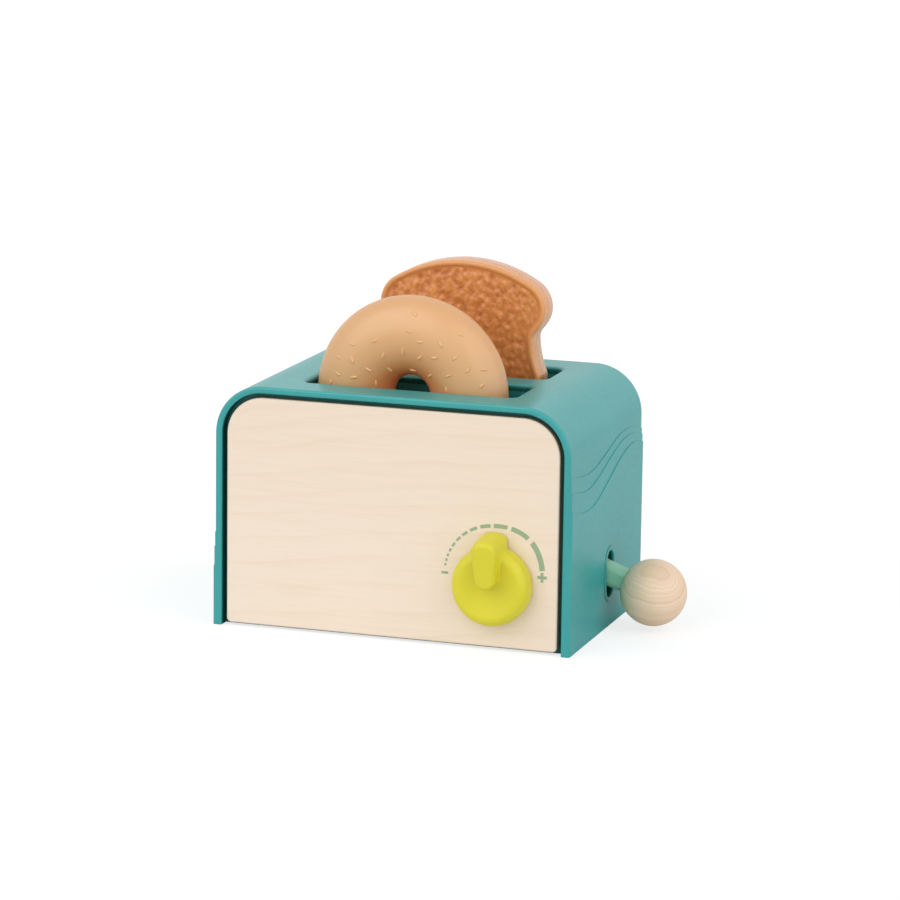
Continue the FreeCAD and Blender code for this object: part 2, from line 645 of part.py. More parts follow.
def relief(side):
    """Make the stepped wave relief of one side: 1 for the right, -1 for the left."""
    half = size("half_depth")
    face = side * size("half_width")
    start = size("shoulder") if side > 0 else size("shoulder") - size("wave_left_drop")
    layers = []
    for number, (wave, (drops, crest_share)) in enumerate(WAVES.items(), 1):
        shares = (-1.0, WAVE_TROUGH_SHARE, WAVE_MIDDLE_SHARE, crest_share, 1.0)
        points = []
        for station, share in zip(WAVE_STATIONS, shares):
            height = start - size(f"wave_{wave}_{station}")
            points.append(FreeCAD.Vector(face, share * half, height))
        crest = Part.BSplineCurve()
        crest.interpolate(points)
        corners = [points[-1], FreeCAD.Vector(face, half, 0), FreeCAD.Vector(face, -half, 0), points[0]]
        outline = Part.Wire([crest.toShape()] + [Part.makeLine(*pair) for pair in zip(corners, corners[1:])])
        step = side * number * size("wave_step")
        layers.append(Part.Face(outline).extrude(FreeCAD.Vector(step, 0, 0)))
    stack = layers[0].multiFuse(layers[1:])
    item = doc.addObject("Part::Feature", "relief_right" if side > 0 else "relief_left")
    item.Shape = stack.removeSplitter()
    return item


def make_shell():
    """Make the casing: an arch with two bread slots, a lever slot, frames, bosses and relief."""
    body = new_body("shell_moulding")
    block = arch(new_sketch(body, "arch_block", "XZ_Plane"), "half_width", "body_height", "corner_radius")
    pad(body, block, "body_depth", middle=True)
    shell_cavity(body)
    shell_bosses(body)
    shell_slots(body)
    moulding = unite("shell_with_relief", body, relief(1), relief(-1))
    through = (f"inner_half - {OVERRUN}", f"half_width + {OVERRUN} + {len(WAVES)} * wave_step")
    tools = [stadium("lever_slot", through, "lever_row", "side_slot_width", "side_slot_low",
                     "side_slot_high")]
    for number, (x, z) in enumerate(panel_screw_places()):
        tools.append(rod(f"ledge_hole{number}", (x, "-body_depth / 2", z), "+Y",
                         "screw_radius + screw_play", "body_depth"))
    keep(cut("shell", moulding, *tools), "shell")


def panel_screw_places():
    """Return the board screws as X and Z expressions."""
    reaches = ("-panel_screw_reach", "panel_screw_reach")
    return [(x, z) for x in reaches for z in ("panel_screw_low", "panel_screw_high")]


def base_screw_places():
    """Return the base screws as X and Y expressions."""
    return [(x, y) for x in ("-base_boss_x", "base_boss_x") for y in ("-base_boss_y", "base_boss_y")]


def chute_screw_places():
    """Return the chute screws as X and Y expressions."""
    ends = ("slot_left - top_boss_margin", "slot_right + top_boss_margin")
    return [(x, y) for x in ends for y in ("-top_boss_row", "top_boss_row")]


def rod_places():
    """Return the guide rods as X and Y expressions."""
    return [("rod_left", "rod_row"), ("rod_right", "-rod_row")]


# ---------------------------------------------------------------- boards and base

def panel(name, front):
    """Make one wooden board with its blind screw holes; the front one has a hole for the dial."""
    body = new_body(f"{name}_board")
    face = "panel_face" if front else "-panel_back"
    outline = rectangle(new_sketch(body, f"{name}_outline", "XZ_Plane", face),
                        ("-panel_half", "panel_half"), ("panel_lift", "panel_top"))
    pad(body, outline, "panel_thickness", flip=True)
    top, bottom = size("panel_top"), size("panel_lift")
    round_edges(body, f"{name}_top_corners", "panel_corner",
                lambda edge: straight_along(edge, "y") and lies_in(edge, "z", top))
    round_edges(body, f"{name}_low_corners", "panel_bottom_corner",
                lambda edge: straight_along(edge, "y") and lies_in(edge, "z", bottom))
    outer = -size("panel_face") if front else size("panel_face")
    round_edges(body, f"{name}_edges", "panel_edge_round", lambda edge: lies_in(edge, "y", outer))
    start = "-panel_back" if front else "panel_back"
    axis = "-Y" if front else "+Y"
    depth = "panel_screw_length - ledge_thickness"
    tools = []
    for number, (x, z) in enumerate(panel_screw_places()):
        tools.append(rod(f"{name}_pilot{number}", (x, start, z), axis, "screw_radius", depth))
    if front:
        tools.append(rod("stem_hole", ("dial_right", start, "dial_height"), axis,
                         "stem_radius + stem_play", "panel_thickness"))
        for number, x in enumerate(click_screw_places()):
            tools.append(rod(f"click_pilot{number}", (x, start, "click_screw_height"), axis,
                             "screw_radius", "click_screw_length - click_foot_thickness"))
    keep(cut(name, body, *tools), name)


def click_screw_places():
    """Return the click spring's screws as X expressions."""
    return ("dial_right - click_screw_row", "dial_right + click_screw_row")


def make_panel_screws():
    """Make the screws that hold each board to its frame from the inside."""
    for label, seat, axis in (("front_panel_screws", "-ledge_back", "-Y"),
                              ("back_panel_screws", "ledge_back", "+Y")):
        screws = []
        for number, (x, z) in enumerate(panel_screw_places()):
            screws.append(screw(f"{label}_{number}", (x, seat, z), axis, "panel_screw_length"))
        group(label, screws)


def make_base_plate():
    """Make the base plate with its rod posts and sunk screw holes."""
    body = new_body("base_board")
    plate = rectangle(new_sketch(body, "base_outline", "XY_Plane"),
                      ("-inner_half + base_gap", "inner_half - base_gap"),
                      ("-ledge_back + base_gap", "ledge_back - base_gap"))
    pad(body, plate, "base_thickness")
    posts = new_sketch(body, "base_posts", "XY_Plane", "base_thickness")
    sockets = new_sketch(body, "base_sockets", "XY_Plane", "base_thickness + rod_post_height")
    for number, (x, y) in enumerate(rod_places()):
        circle(posts, x, y, "rod_post_radius", f"post{number}")
        circle(sockets, x, y, "rod_radius", f"socket{number}")
    pad(body, posts, "rod_post_height")
    pocket(body, sockets, "rod_post_height")
    tools = []
    for number, (x, y) in enumerate(base_screw_places() + bracket_screw_places()):
        tools.append(rod(f"base_hole{number}", (x, y, "0"), "+Z", "screw_radius + screw_play",
                         "base_thickness"))
        tools.append(rod(f"base_sink{number}", (x, y, "0"), "+Z", "screw_head_radius + screw_play",
                         "screw_head_height"))
    keep(cut("base_plate", body, *tools), "base_plate")


def bracket_screw_places():
    """Return the bracket screws as X and Y expressions, one under each ear."""
    middle = "(ear_inner + ear_outer) / 2"
    return [("pivot_reach", f"lever_row - {middle}"), ("pivot_reach", f"lever_row + {middle}")]


def make_base_screws():
    """Make the screws that come up through the base plate."""
    for label, places in (("base_screws", base_screw_places()),
                          ("bracket_screws", bracket_screw_places())):
        screws = []
        for number, (x, y) in enumerate(places):
            screws.append(screw(f"{label}_{number}", (x, y, "screw_head_height"), "+Z", "screw_length"))
        group(label, screws)


# ---------------------------------------------------------------- chute

def make_bread_chute():
    """Make both chutes below the slots, joined by one plate that is screwed under the top."""
    body = new_body("chute_moulding")
    plate = rectangle(new_sketch(body, "chute_plate", "XY_Plane", "flange_bottom"),
                      ("slot_left - chute_flange_margin", "slot_right + chute_flange_margin"),
                      ("-slot_row - slot_width / 2 - chute_wall", "slot_row + slot_width / 2 + chute_wall"))
    pad(body, plate, "chute_flange")
    tubes = new_sketch(body, "chute_tubes", "XY_Plane", "chute_bottom")
    hollows = new_sketch(body, "chute_hollows", "XY_Plane", "chute_bottom")
    for number, row in enumerate(("-slot_row", "slot_row")):
        rectangle(tubes, ("slot_left - chute_wall", "slot_right + chute_wall"),
                  (f"{row} - slot_width / 2 - chute_wall", f"{row} + slot_width / 2 + chute_wall"),
                  f"tube{number}")
        rectangle(hollows, ("slot_left", "slot_right"),
                  (f"{row} - slot_width / 2", f"{row} + slot_width / 2"), f"hollow{number}")
    pad(body, tubes, "chute_length")
    pocket(body, hollows, "chute_length", flip=True)
    ends = (size("slot_left"), size("slot_right"))
    round_edges(body, "chute_corners", "slot_corner",
                lambda edge: straight_along(edge, "z") and lies_in(edge, "x", *ends))
    tools = []
    for number, (x, y) in enumerate(chute_screw_places()):
        tools.append(rod(f"chute_hole{number}", (x, y, "flange_bottom"), "+Z",
                         "screw_radius + screw_play", "chute_flange"))
    for number, (x, y) in enumerate(rod_places()):
        tools.append(rod(f"chute_rod_hole{number}", (x, y, "flange_bottom"), "+Z",
                         "rod_radius + screw_play", "chute_flange"))
    keep(cut("bread_chute", body, *tools), "bread_chute")
    screws = []
    for number, (x, y) in enumerate(chute_screw_places()):
        screws.append(screw(f"chute_screw_{number}", (x, y, "flange_bottom"), "+Z", "chute_screw_length"))
    group("chute_screws", screws)


# ---------------------------------------------------------------- lever

def make_lever_bracket():
    """Make the bracket: a foot on the base plate and two ears for the lever pin."""
    across = ("lever_row - ear_outer", "lever_row + ear_outer")
    foot = box("bracket_foot_block", ("pivot_reach - bracket_length / 2", "pivot_reach + bracket_length / 2"),
               across, ("base_thickness", "base_thickness + bracket_foot"))
    parts = [foot]
    for side, start in (("front", "lever_row - ear_outer"), ("back", "lever_row + ear_inner")):
        parts.append(box(f"ear_{side}", ("pivot_reach - ear_radius", "pivot_reach + ear_radius"),
                         (start, f"{start} + ear_thickness"), ("base_thickness", "pivot_height")))
        parts.append(rod(f"ear_{side}_top", ("pivot_reach", start, "pivot_height"), "+Y",
                         "ear_radius", "ear_thickness"))
    tools = [rod("ear_bore", ("pivot_reach", "lever_row - ear_outer", "pivot_height"), "+Y",
                 "pin_radius", "2 * ear_outer")]
    for number, (x, y) in enumerate(bracket_screw_places()):
        tools.append(rod(f"bracket_pilot{number}", (x, y, "base_thickness"), "+Z", "screw_radius",
                         "screw_length - base_thickness + screw_head_height"))
    keep(cut("lever_bracket", unite("bracket_block", *parts), *tools), "lever_bracket")


def make_lever_pin():
    """Make the lever pin, the clip that holds it and the friction washers beside the hub."""
    head_start = "lever_row - ear_outer - pin_head_height"
    head = rod("pin_head", ("pivot_reach", head_start, "pivot_height"), "+Y",
               "pin_head_radius", "pin_head_height")
    shank = rod("pin_shank", ("pivot_reach", "lever_row - ear_outer", "pivot_height"), "+Y",
                "pin_radius", "2 * ear_outer + 2 * pin_head_height")
    keep(unite("lever_pin", head, shank), "lever_pin")
    clip = ring("pin_clip", ("pivot_reach", "lever_row + ear_outer", "pivot_height"), "+Y",
                "pin_head_radius", "pin_radius", "pin_head_height")
    keep(clip, "pin_clip")
    washers = []
    for number, start in enumerate(("lever_row - ear_inner + washer_play / 2",
                                    "lever_row + lever_half + 1.5 * washer_play")):
        washers.append(ring(f"washer{number}", ("pivot_reach", start, "pivot_height"), "+Y",
                            "washer_radius", "pin_radius", "washer_thickness"))
    group("friction_washers", washers)


def make_lever_arm():
    """Make the see-saw lever, drawn level with its pivot at the body's own origin, then tilted."""
    body = new_body("lever_moulding")
    root = "arm_root_height / 2"
    tip = "arm_tip_height / 2"
    arm = polygon(new_sketch(body, "arm_outline", "XZ_Plane"),
                  (("0", f"-{root}"), ("arm_length", f"-{tip}"), ("arm_length", tip), ("0", root)))
    pad(body, arm, "lever_width", middle=True)
    long_edge = 0.9 * size("arm_length")
    round_edges(body, "arm_rounds", "arm_round",
                lambda edge: lies_in(edge, "y", -size("lever_half"), size("lever_half"))
                and edge.Length > long_edge)
    hub = circle(new_sketch(body, "hub_outline", "XZ_Plane"), "0", "0", "hub_radius")
    pad(body, hub, "lever_width", middle=True)
    half = "tail_height / 2"
    tail = rectangle(new_sketch(body, "tail_outline", "XZ_Plane"), ("-tail_length", "0"),
                     (f"-{half}", half))
    pad(body, tail, "tail_width", middle=True)
    eye = circle(new_sketch(body, "eye_outline", "XZ_Plane"), "-tail_length", "0", "tail_eye_radius")
    pad(body, eye, "tail_width", middle=True)
    bores = circle(new_sketch(body, "lever_bores", "XZ_Plane"), "0", "0", "pin_radius + pin_play", "pivot")
    circle(bores, "-tail_length", "0", "link_pin_radius", "link")
    pocket(body, bores, "lever_width", middle=True)
    spigot = circle(new_sketch(body, "spigot_outline", "YZ_Plane", "arm_length"), "0", "0", "spigot_radius")
    pad(body, spigot, "spigot_length")
    tilt(body, "pivot_reach", "pivot_height")
    keep(body, "lever_arm")


def tilt(item, x, z):
    """Place a shape that was drawn level on the sloping line of the lever."""
    slope = FreeCAD.Rotation(FreeCAD.Vector(0, 1, 0), size("lever_slope"))
    item.Placement = FreeCAD.Placement(FreeCAD.Vector(), slope)
    put(item, x, "lever_row", z)
    item.setExpression("Placement.Rotation.Angle", linked("lever_slope * 1deg"))


def make_ball_handle():
    """Make the wooden ball with its flat seat and the blind hole for the arm's peg."""
    ball = doc.addObject("Part::Sphere", "ball_sphere")
    bind(ball, Radius="ball_radius")
    seat = box("ball_seat_cut", ("-ball_radius - ball_seat", "-ball_seat"), ("-ball_radius", "ball_radius"),
               ("-ball_radius", "ball_radius"))
    hole = rod("ball_hole", ("-ball_seat", "0", "0"), "+X", "spigot_radius", "spigot_length")
    item = cut("ball_handle", ball, seat, hole)
    tilt(item, "pivot_reach + ball_reach * cos(lever_slope)",
         "pivot_height - ball_reach * sin(lever_slope)")
    keep(item, "ball_handle")


# ---------------------------------------------------------------- tray

def make_bread_tray():
    """Make the tray: a plate with a bagel cradle, a toast channel, rod sleeves and lever lugs."""
    body = new_body("tray_moulding")
    plate = rectangle(new_sketch(body, "tray_plate", "XY_Plane", "tray_bottom"),
                      ("tray_left", "tray_right"), ("-tray_depth / 2", "tray_depth / 2"))
    pad(body, plate, "tray_thickness")
    ears = new_sketch(body, "tray_ears", "XY_Plane", "tray_bottom")
    rectangle(ears, ("rod_left", "tray_left + tray_margin"),
              ("rod_row - sleeve_radius", "rod_row + sleeve_radius"), "left")
    rectangle(ears, ("tray_right - tray_margin", "rod_right"),
              ("-rod_row - sleeve_radius", "-rod_row + sleeve_radius"), "right")
    pad(body, ears, "tray_thickness")
    sleeves = new_sketch(body, "sleeves", "XY_Plane", "tray_bottom - sleeve_drop")
    bores = new_sketch(body, "sleeve_bores", "XY_Plane", "tray_bottom - sleeve_drop")
    for number, (x, y) in enumerate(rod_places()):
        circle(sleeves, x, y, "sleeve_radius", f"sleeve{number}")
        circle(bores, x, y, "rod_radius + rod_play", f"bore{number}")
    whole = "sleeve_drop + tray_thickness + sleeve_rise"
    pad(body, sleeves, whole)
    pocket(body, bores, whole, flip=True)
    cradle = rectangle(new_sketch(body, "cradle", "XY_Plane", "tray_top"),
                       ("-bagel_left - cradle_length / 2", "-bagel_left + cradle_length / 2"),
                       ("bagel_row - cradle_width / 2", "bagel_row + cradle_width / 2"))
    pad(body, cradle, "cradle_height")
    bowl = circle(new_sketch(body, "cradle_bowl", "XZ_Plane", "-bagel_row"), "-bagel_left", "bagel_height",
                  "bagel_radius + bread_gap")
    pocket(body, bowl, f"cradle_width + {OVERRUN}", middle=True)
    channel_side = "channel_half + channel_wall"
    channel = rectangle(new_sketch(body, "channel", "XY_Plane", "tray_top"), ("tray_left", "tray_right"),
                        (f"toast_row - ({channel_side})", f"toast_row + {channel_side}"))
    pad(body, channel, "channel_height")
    groove = rectangle(new_sketch(body, "channel_groove", "XY_Plane", "tray_top + channel_height"),
                       ("tray_left", "tray_right"),
                       ("toast_row - channel_half", "toast_row + channel_half"))
    pocket(body, groove, "channel_height - channel_floor")
    lugs = new_sketch(body, "lugs", "XY_Plane", "link_height - lug_below")
    along = ("link_middle - lug_length / 2", "link_middle + lug_length / 2")
    rectangle(lugs, along, ("lever_row - lug_outer", "lever_row - lug_inner"), "front")
    rectangle(lugs, along, ("lever_row + lug_inner", "lever_row + lug_outer"), "back")
    pad(body, lugs, "tray_bottom - link_height + lug_below")
    half = "(link_pin_radius + link_play)"
    ends = ("link_middle - link_run", "link_middle + link_run")
    across = (f"lever_row - lug_outer - {OVERRUN}", f"lever_row + lug_outer + {OVERRUN}")
    middle = box("link_slot_middle", ends, across, (f"link_height - {half}", f"link_height + {half}"))
    tools = [middle]
    for number, x in enumerate(ends):
        tools.append(rod(f"link_slot_end{number}", (x, across[0], "link_height"), "+Y", half,
                         f"2 * lug_outer + 2 * {OVERRUN}"))
    keep(cut("bread_tray", body, *tools), "bread_tray")


def make_link_pin():
    """Make the pin in the lever's tail that carries the tray."""
    reach = "lug_outer + link_pin_margin"
    pin = rod("link_pin", ("link_x", f"lever_row - ({reach})", "link_height"), "+Y",
              "link_pin_radius", f"2 * ({reach})")
    keep(pin, "link_pin")


def make_guide_rods():
    """Make the two upright rods between the base plate and the top of the casing."""
    rods = []
    for number, (x, y) in enumerate(rod_places()):
        rods.append(rod(f"guide_rod{number}", (x, y, "base_thickness"), "+Z", "rod_radius",
                        "top_boss_bottom + rod_socket - base_thickness"))
    group("guide_rods", rods)


# ---------------------------------------------------------------- dial

def make_dial_knob():
    """Make the knob: a dished disc with a raised pointer, a stem and a six-sided end."""
    body = new_body("knob_disc")
    rim = "dial_radius"
    profile = polygon(new_sketch(body, "knob_profile", "XY_Plane"),
                      (("0", "-dial_back"), (rim, "-dial_back"), (rim, "-dial_front"),
                       (f"{rim} - dial_rim", "-dial_front"), ("0", "-dial_front + dial_dish")))
    disc = body.newObject("PartDesign::Revolution", "knob_turned")
    disc.Profile = profile
    disc.ReferenceAxis = (profile, ["V_Axis"])
    disc.Angle = 360
    edge_row = -size("dial_front")
    reach = size("dial_radius") - NEAR
    round_edges(body, "knob_rim", "dial_round",
                lambda edge: lies_in(edge, "y", edge_row) and edge.BoundBox.XMax > reach)
    put(body, "dial_right", "0", "dial_height")
    pointer_body = new_body("knob_pointer")
    wide = "pointer_wide / 2"
    narrow = "pointer_narrow / 2"
    outline = polygon(new_sketch(pointer_body, "pointer_outline", "XZ_Plane", "dial_back"),
                      ((f"-{narrow}", "pointer_inner"), (narrow, "pointer_inner"),
                       (wide, "pointer_top"), (f"-{wide}", "pointer_top")))
    pad(pointer_body, outline, "pointer_front - dial_back")
    slant = polygon(new_sketch(pointer_body, "pointer_end", "YZ_Plane"),
                    ((f"-pointer_front - {OVERRUN}", "pointer_top - pointer_slant"),
                     ("-pointer_front", "pointer_top - pointer_slant"), ("-dial_back", "pointer_top"),
                     ("-dial_back", f"pointer_top + {OVERRUN}"),
                     (f"-pointer_front - {OVERRUN}", f"pointer_top + {OVERRUN}")))
    pocket(pointer_body, slant, "2 * pointer_wide", middle=True)
    slope = polygon(new_sketch(pointer_body, "pointer_slope", "YZ_Plane"),
                    (("-pointer_front", "pointer_top - pointer_slant"),
                     ("-pointer_front + pointer_fall", "pointer_inner"),
                     (f"-pointer_front - {OVERRUN}", "pointer_inner"),
                     (f"-pointer_front - {OVERRUN}", "pointer_top - pointer_slant")))
    pocket(pointer_body, slope, "2 * pointer_wide", middle=True)
    inner = size("pointer_inner")
    crest = size("pointer_top") - size("pointer_slant")
    outer = crest - NEAR
    front = -size("pointer_front")
    steepness = size("pointer_fall") / (crest - inner)
    round_edges(pointer_body, "pointer_inner_end", "pointer_nose",
                lambda edge: lies_in(edge, "z", inner) and edge.BoundBox.YLength > NEAR)
    round_edges(pointer_body, "pointer_outer_end", "pointer_corner",
                lambda edge: edge.BoundBox.ZMin > outer and edge.BoundBox.YLength > NEAR)
    round_edges(pointer_body, "pointer_rounds", "pointer_round",
                lambda edge: all(same(point.y, front + (crest - point.z) * steepness)
                                 for point in edge.discretize(5)))
    put(pointer_body, "dial_right", "0", "dial_height")
    stem = rod("knob_stem", ("dial_right", "-dial_back", "dial_height"), "+Y", "stem_radius",
               "dial_back - wheel_front")
    key = prism("knob_key", "-wheel_front", "key_radius", "wheel_thickness")
    blank = unite("knob_blank", body, pointer_body, stem, key)
    pilot = rod("knob_pilot", ("dial_right", "-wheel_back", "dial_height"), "-Y", "screw_radius",
                "screw_length")
    keep(cut("dial_knob", blank, pilot), "dial_knob")


def prism(name, y, radius, length):
    """Make a six-sided bar on the dial's axis."""
    item = doc.addObject("Part::Prism", name)
    item.Polygon = 6
    item.Placement = FreeCAD.Placement(FreeCAD.Vector(), AXIS_TURNS["+Y"])
    bind(item, Circumradius=radius, Height=length)
    put(item, "dial_right", y, "dial_height")
    return item


def make_click_wheel():
    """Make the notched wheel that is keyed on the knob's stem."""
    body = new_body("wheel_disc")
    disc = circle(new_sketch(body, "wheel_outline", "XZ_Plane", "wheel_front"), "0", "0", "wheel_radius")
    pad(body, disc, "wheel_thickness", flip=True)
    notch = circle(new_sketch(body, "wheel_notch", "XZ_Plane", "wheel_front"), "0", "wheel_radius",
                   "notch_radius")
    notched = pocket(body, notch, "wheel_thickness")
    pattern = body.newObject("PartDesign::PolarPattern", "wheel_notches")
    pattern.Originals = [notched]
    axis = next(item for item in body.Origin.OriginFeatures if item.Role == "Y_Axis")
    pattern.Axis = (axis, [""])
    pattern.Angle = 360
    pattern.setExpression("Occurrences", linked("wheel_teeth"))
    body.Tip = pattern
    put(body, "dial_right", "0", "dial_height")
    keyway = prism("wheel_keyway", "-wheel_front", "key_radius + key_play", "wheel_thickness")
    keep(cut("click_wheel", body, keyway), "click_wheel")


def make_dial_fasteners():
    """Make the washer and the screw that hold the click wheel on the stem."""
    washer = ring("dial_washer", ("dial_right", "-wheel_back", "dial_height"), "+Y",
                  "dial_washer_radius", "screw_radius", "dial_washer_thickness")
    keep(washer, "dial_washer")
    fastener = screw("dial_screw", ("dial_right", "-dial_washer_back", "dial_height"), "-Y",
                     "screw_length")
    keep(fastener, "dial_screw")


def make_click_spring():
    """Make the click spring: a foot on the board and a leaf with a nub over the click wheel."""
    left = "dial_right - click_length / 2"
    right = "dial_right + click_length / 2"
    thin = ("-wheel_front", "-wheel_back")
    foot = box("click_foot", (left, right), ("-panel_back", "-click_foot_back"),
               ("click_foot_bottom", "click_foot_bottom + click_foot_height"))
    post = box("click_post", (left, f"{left} + click_leaf"), thin, ("leaf_bottom", "click_foot_bottom"))
    leaf = box("click_leaf_bar", (left, "dial_right + click_nub_radius"), thin,
               ("leaf_bottom", "leaf_bottom + click_leaf"))
    nub = rod("click_nub", ("dial_right", thin[0], "leaf_bottom"), "+Y", "click_nub_radius",
              "wheel_thickness")
    holes = []
    for number, x in enumerate(click_screw_places()):
        holes.append(rod(f"click_hole{number}", (x, "-panel_back", "click_screw_height"), "+Y",
                         "screw_radius + screw_play", "click_foot_thickness"))
    keep(cut("click_spring", unite("click_blank", foot, post, leaf, nub), *holes), "click_spring")
    screws = []
    for number, x in enumerate(click_screw_places()):
        screws.append(screw(f"click_screw_{number}", (x, "-click_foot_back", "click_screw_height"), "-Y",
                            "click_screw_length"))
    group("click_spring_screws", screws)


# ---------------------------------------------------------------- bread

def half_ellipse(along, across, centre, side):
    """Return a half ellipse in the XY plane, on one side of the X axis, as an edge."""
    ellipse = Part.Ellipse(centre, along, across)
    first = 0.0 if side > 0 else math.pi
    return ellipse.toShape(first, first + math.pi)


def bagel_half(label, side):
    """Make one hollow half of the bagel: side -1 is the front half, 1 the back half."""
    outer, hole = size("bagel_radius"), size("bagel_hole")
    wall = size("bagel_wall")
    middle = FreeCAD.Vector((outer + hole) / 2, 0, 0)
    along, across = (outer - hole) / 2, size("bagel_thickness") / 2
    skin = half_ellipse(along, across, middle, side)
    hollow = half_ellipse(along - wall, across - wall, middle, side)
    steps = []
    for sign in (-1, 1):
        inner_end = middle + FreeCAD.Vector(sign * (along - wall), 0, 0)
        outer_end = middle + FreeCAD.Vector(sign * along, 0, 0)
        steps.append(Part.makeLine(inner_end, outer_end))
    section = Part.Face(Part.Wire(Part.__sortEdges__([skin, hollow] + steps)))
    solid = section.revolve(FreeCAD.Vector(), FreeCAD.Vector(0, 1, 0), 360)
    item = doc.addObject("Part::Feature", label)
    item.Shape = Part.Solid(solid) if solid.ShapeType == "Shell" else solid
    put(item, "-bagel_left", "bagel_row", "bagel_height")
    keep(item, label)


def toast_outline():
    """Return the toast's outline as a closed wire in the XZ plane, centred on X."""
    top, lobe = size("toast_top"), size("lobe_radius")
    dome = size("toast_dome")
    lobe_x = size("lobe_half") - lobe
    dome_z = top - dome
    lobe_z = dome_z + math.sqrt((dome - lobe) ** 2 - lobe_x ** 2)
    meet = (lobe_x * dome / (dome - lobe), dome_z + (lobe_z - dome_z) * dome / (dome - lobe))
    neck = size("neck_half")
    neck_z = lobe_z - math.sqrt(lobe ** 2 - (neck - lobe_x) ** 2)
    base, bottom = size("toast_base_half"), size("toast_bottom")
    flank_z = top - size("flank_drop")
    flank_middle = ((neck + base) / 2 - size("flank_bow"), (neck_z + flank_z) / 2)
    corner = size("toast_corner")
    bend = corner * (1 - math.sqrt(0.5))

    def at(x, z):
        return FreeCAD.Vector(x, 0, z)

    edges = [Part.Arc(at(-meet[0], meet[1]), at(0, top), at(*meet)).toShape()]
    for side in (1, -1):
        edges.append(Part.Arc(at(side * meet[0], meet[1]), at(side * (lobe_x + lobe), lobe_z),
                              at(side * neck, neck_z)).toShape())
        edges.append(Part.Arc(at(side * neck, neck_z), at(side * flank_middle[0], flank_middle[1]),
                              at(side * base, flank_z)).toShape())
        edges.append(Part.makeLine(at(side * base, flank_z), at(side * base, bottom + corner)))
        edges.append(Part.Arc(at(side * base, bottom + corner), at(side * (base - bend), bottom + bend),
                              at(side * (base - corner), bottom)).toShape())
    edges.append(Part.makeLine(at(base - corner, bottom), at(corner - base, bottom)))
    return Part.Wire(Part.__sortEdges__(edges))


def toast_half(label, side):
    """Make one hollow half of the toast: side -1 is the front half, 1 the back half."""
    outline = toast_outline()
    half = size("toast_thickness") / 2
    depth = size("crumb_depth")
    wall = size("toast_wall")
    outward = FreeCAD.Vector(0, side, 0)
    block = Part.Face(outline).extrude(outward * half)
    neck = size("neck_half")
    necks = [edge for edge in block.Edges if straight_along(edge, "y") and lies_in(edge, "x", -neck, neck)]
    block = block.makeFillet(size("neck_round"), necks)
    face_edges = [edge for edge in block.Edges if lies_in(edge, "y", side * half)]
    block = block.makeFillet(size("crust_round"), face_edges)
    crumb = Part.Face(outline.makeOffset2D(-size("crust_width")))
    crumb.translate(outward * (half - depth))
    hollow = Part.Face(outline.makeOffset2D(-wall - size("crust_round") / 2))
    recess = crumb.extrude(outward * (depth + OVERRUN))
    space = hollow.extrude(outward * (half - depth - wall))
    item = doc.addObject("Part::Feature", label)
    item.Shape = block.cut([recess, space])
    put(item, "toast_right", "toast_row", "0")
    keep(item, label)


# ---------------------------------------------------------------- build

def check_and_export():
    """Check every object and write each sub-part to its own file."""
    doc.recompute()
    for item in doc.Objects:
        faults = [state for state in item.State if state in ("Invalid", "Error")]
        if faults:
            raise RuntimeError(f"{item.Name} ({item.Label}) is {faults}")
    os.makedirs("parts", exist_ok=True)
    for item in nodes:
        shape = item.Shape
        if shape.isNull() or not shape.isValid() or not shape.Solids:
            raise RuntimeError(f"{item.Label} has no valid shape")
        shape.exportStep(f"parts/{item.Label}.step")
        print(f"{item.Label:22s} solids {len(shape.Solids):2d} volume {shape.Volume / 1000:8.2f} cm3")


size_names = make_sheet()
place_names = {name for name, text in PLACES}
make_places()
make_shell()
panel("front_panel", True)
panel("back_panel", False)
make_panel_screws()
make_base_plate()
make_base_screws()
make_bread_chute()
make_lever_bracket()
make_lever_pin()
make_lever_arm()
make_ball_handle()
make_bread_tray()
make_link_pin()
make_guide_rods()
make_dial_knob()
make_click_wheel()
make_dial_fasteners()
make_click_spring()
for half_label, half_side in (("bagel_front", -1), ("bagel_back", 1)):
    bagel_half(half_label, half_side)
for half_label, half_side in (("toast_front", -1), ("toast_back", 1)):
    toast_half(half_label, half_side)
check_and_export()
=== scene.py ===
"""Play toaster: the visible pieces, dressed around the fixed frame.

X runs to the right, Y to the back and Z up; the origin is under the middle of the casing. The classes
hold their sizes in millimetres, and the finished meshes are in metres.
"""
import logging
import math
import random
from dataclasses import dataclass, field
from enum import Enum

import bmesh
import bpy
import numpy as np
from bpy.types import Material, Mesh, Node, NodeTree, Object
from bpy.types import NodeSocket as Socket
from mathutils import Matrix, Vector, noise
from mathutils.geometry import delaunay_2d_cdt


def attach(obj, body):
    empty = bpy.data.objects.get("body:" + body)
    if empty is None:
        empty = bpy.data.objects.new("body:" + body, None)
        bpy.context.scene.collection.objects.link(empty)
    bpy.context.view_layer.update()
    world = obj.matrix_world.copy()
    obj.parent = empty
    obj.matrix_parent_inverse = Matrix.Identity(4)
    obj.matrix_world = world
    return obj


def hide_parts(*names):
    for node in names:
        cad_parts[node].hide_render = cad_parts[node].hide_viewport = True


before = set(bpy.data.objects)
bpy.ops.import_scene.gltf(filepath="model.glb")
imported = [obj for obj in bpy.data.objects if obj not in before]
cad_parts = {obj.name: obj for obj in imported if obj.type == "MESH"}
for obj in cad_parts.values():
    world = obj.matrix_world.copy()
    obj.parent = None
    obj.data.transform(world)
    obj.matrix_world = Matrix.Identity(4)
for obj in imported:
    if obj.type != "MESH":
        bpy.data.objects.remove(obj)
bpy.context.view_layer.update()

LOG = logging.getLogger("toaster")
MM = 0.001

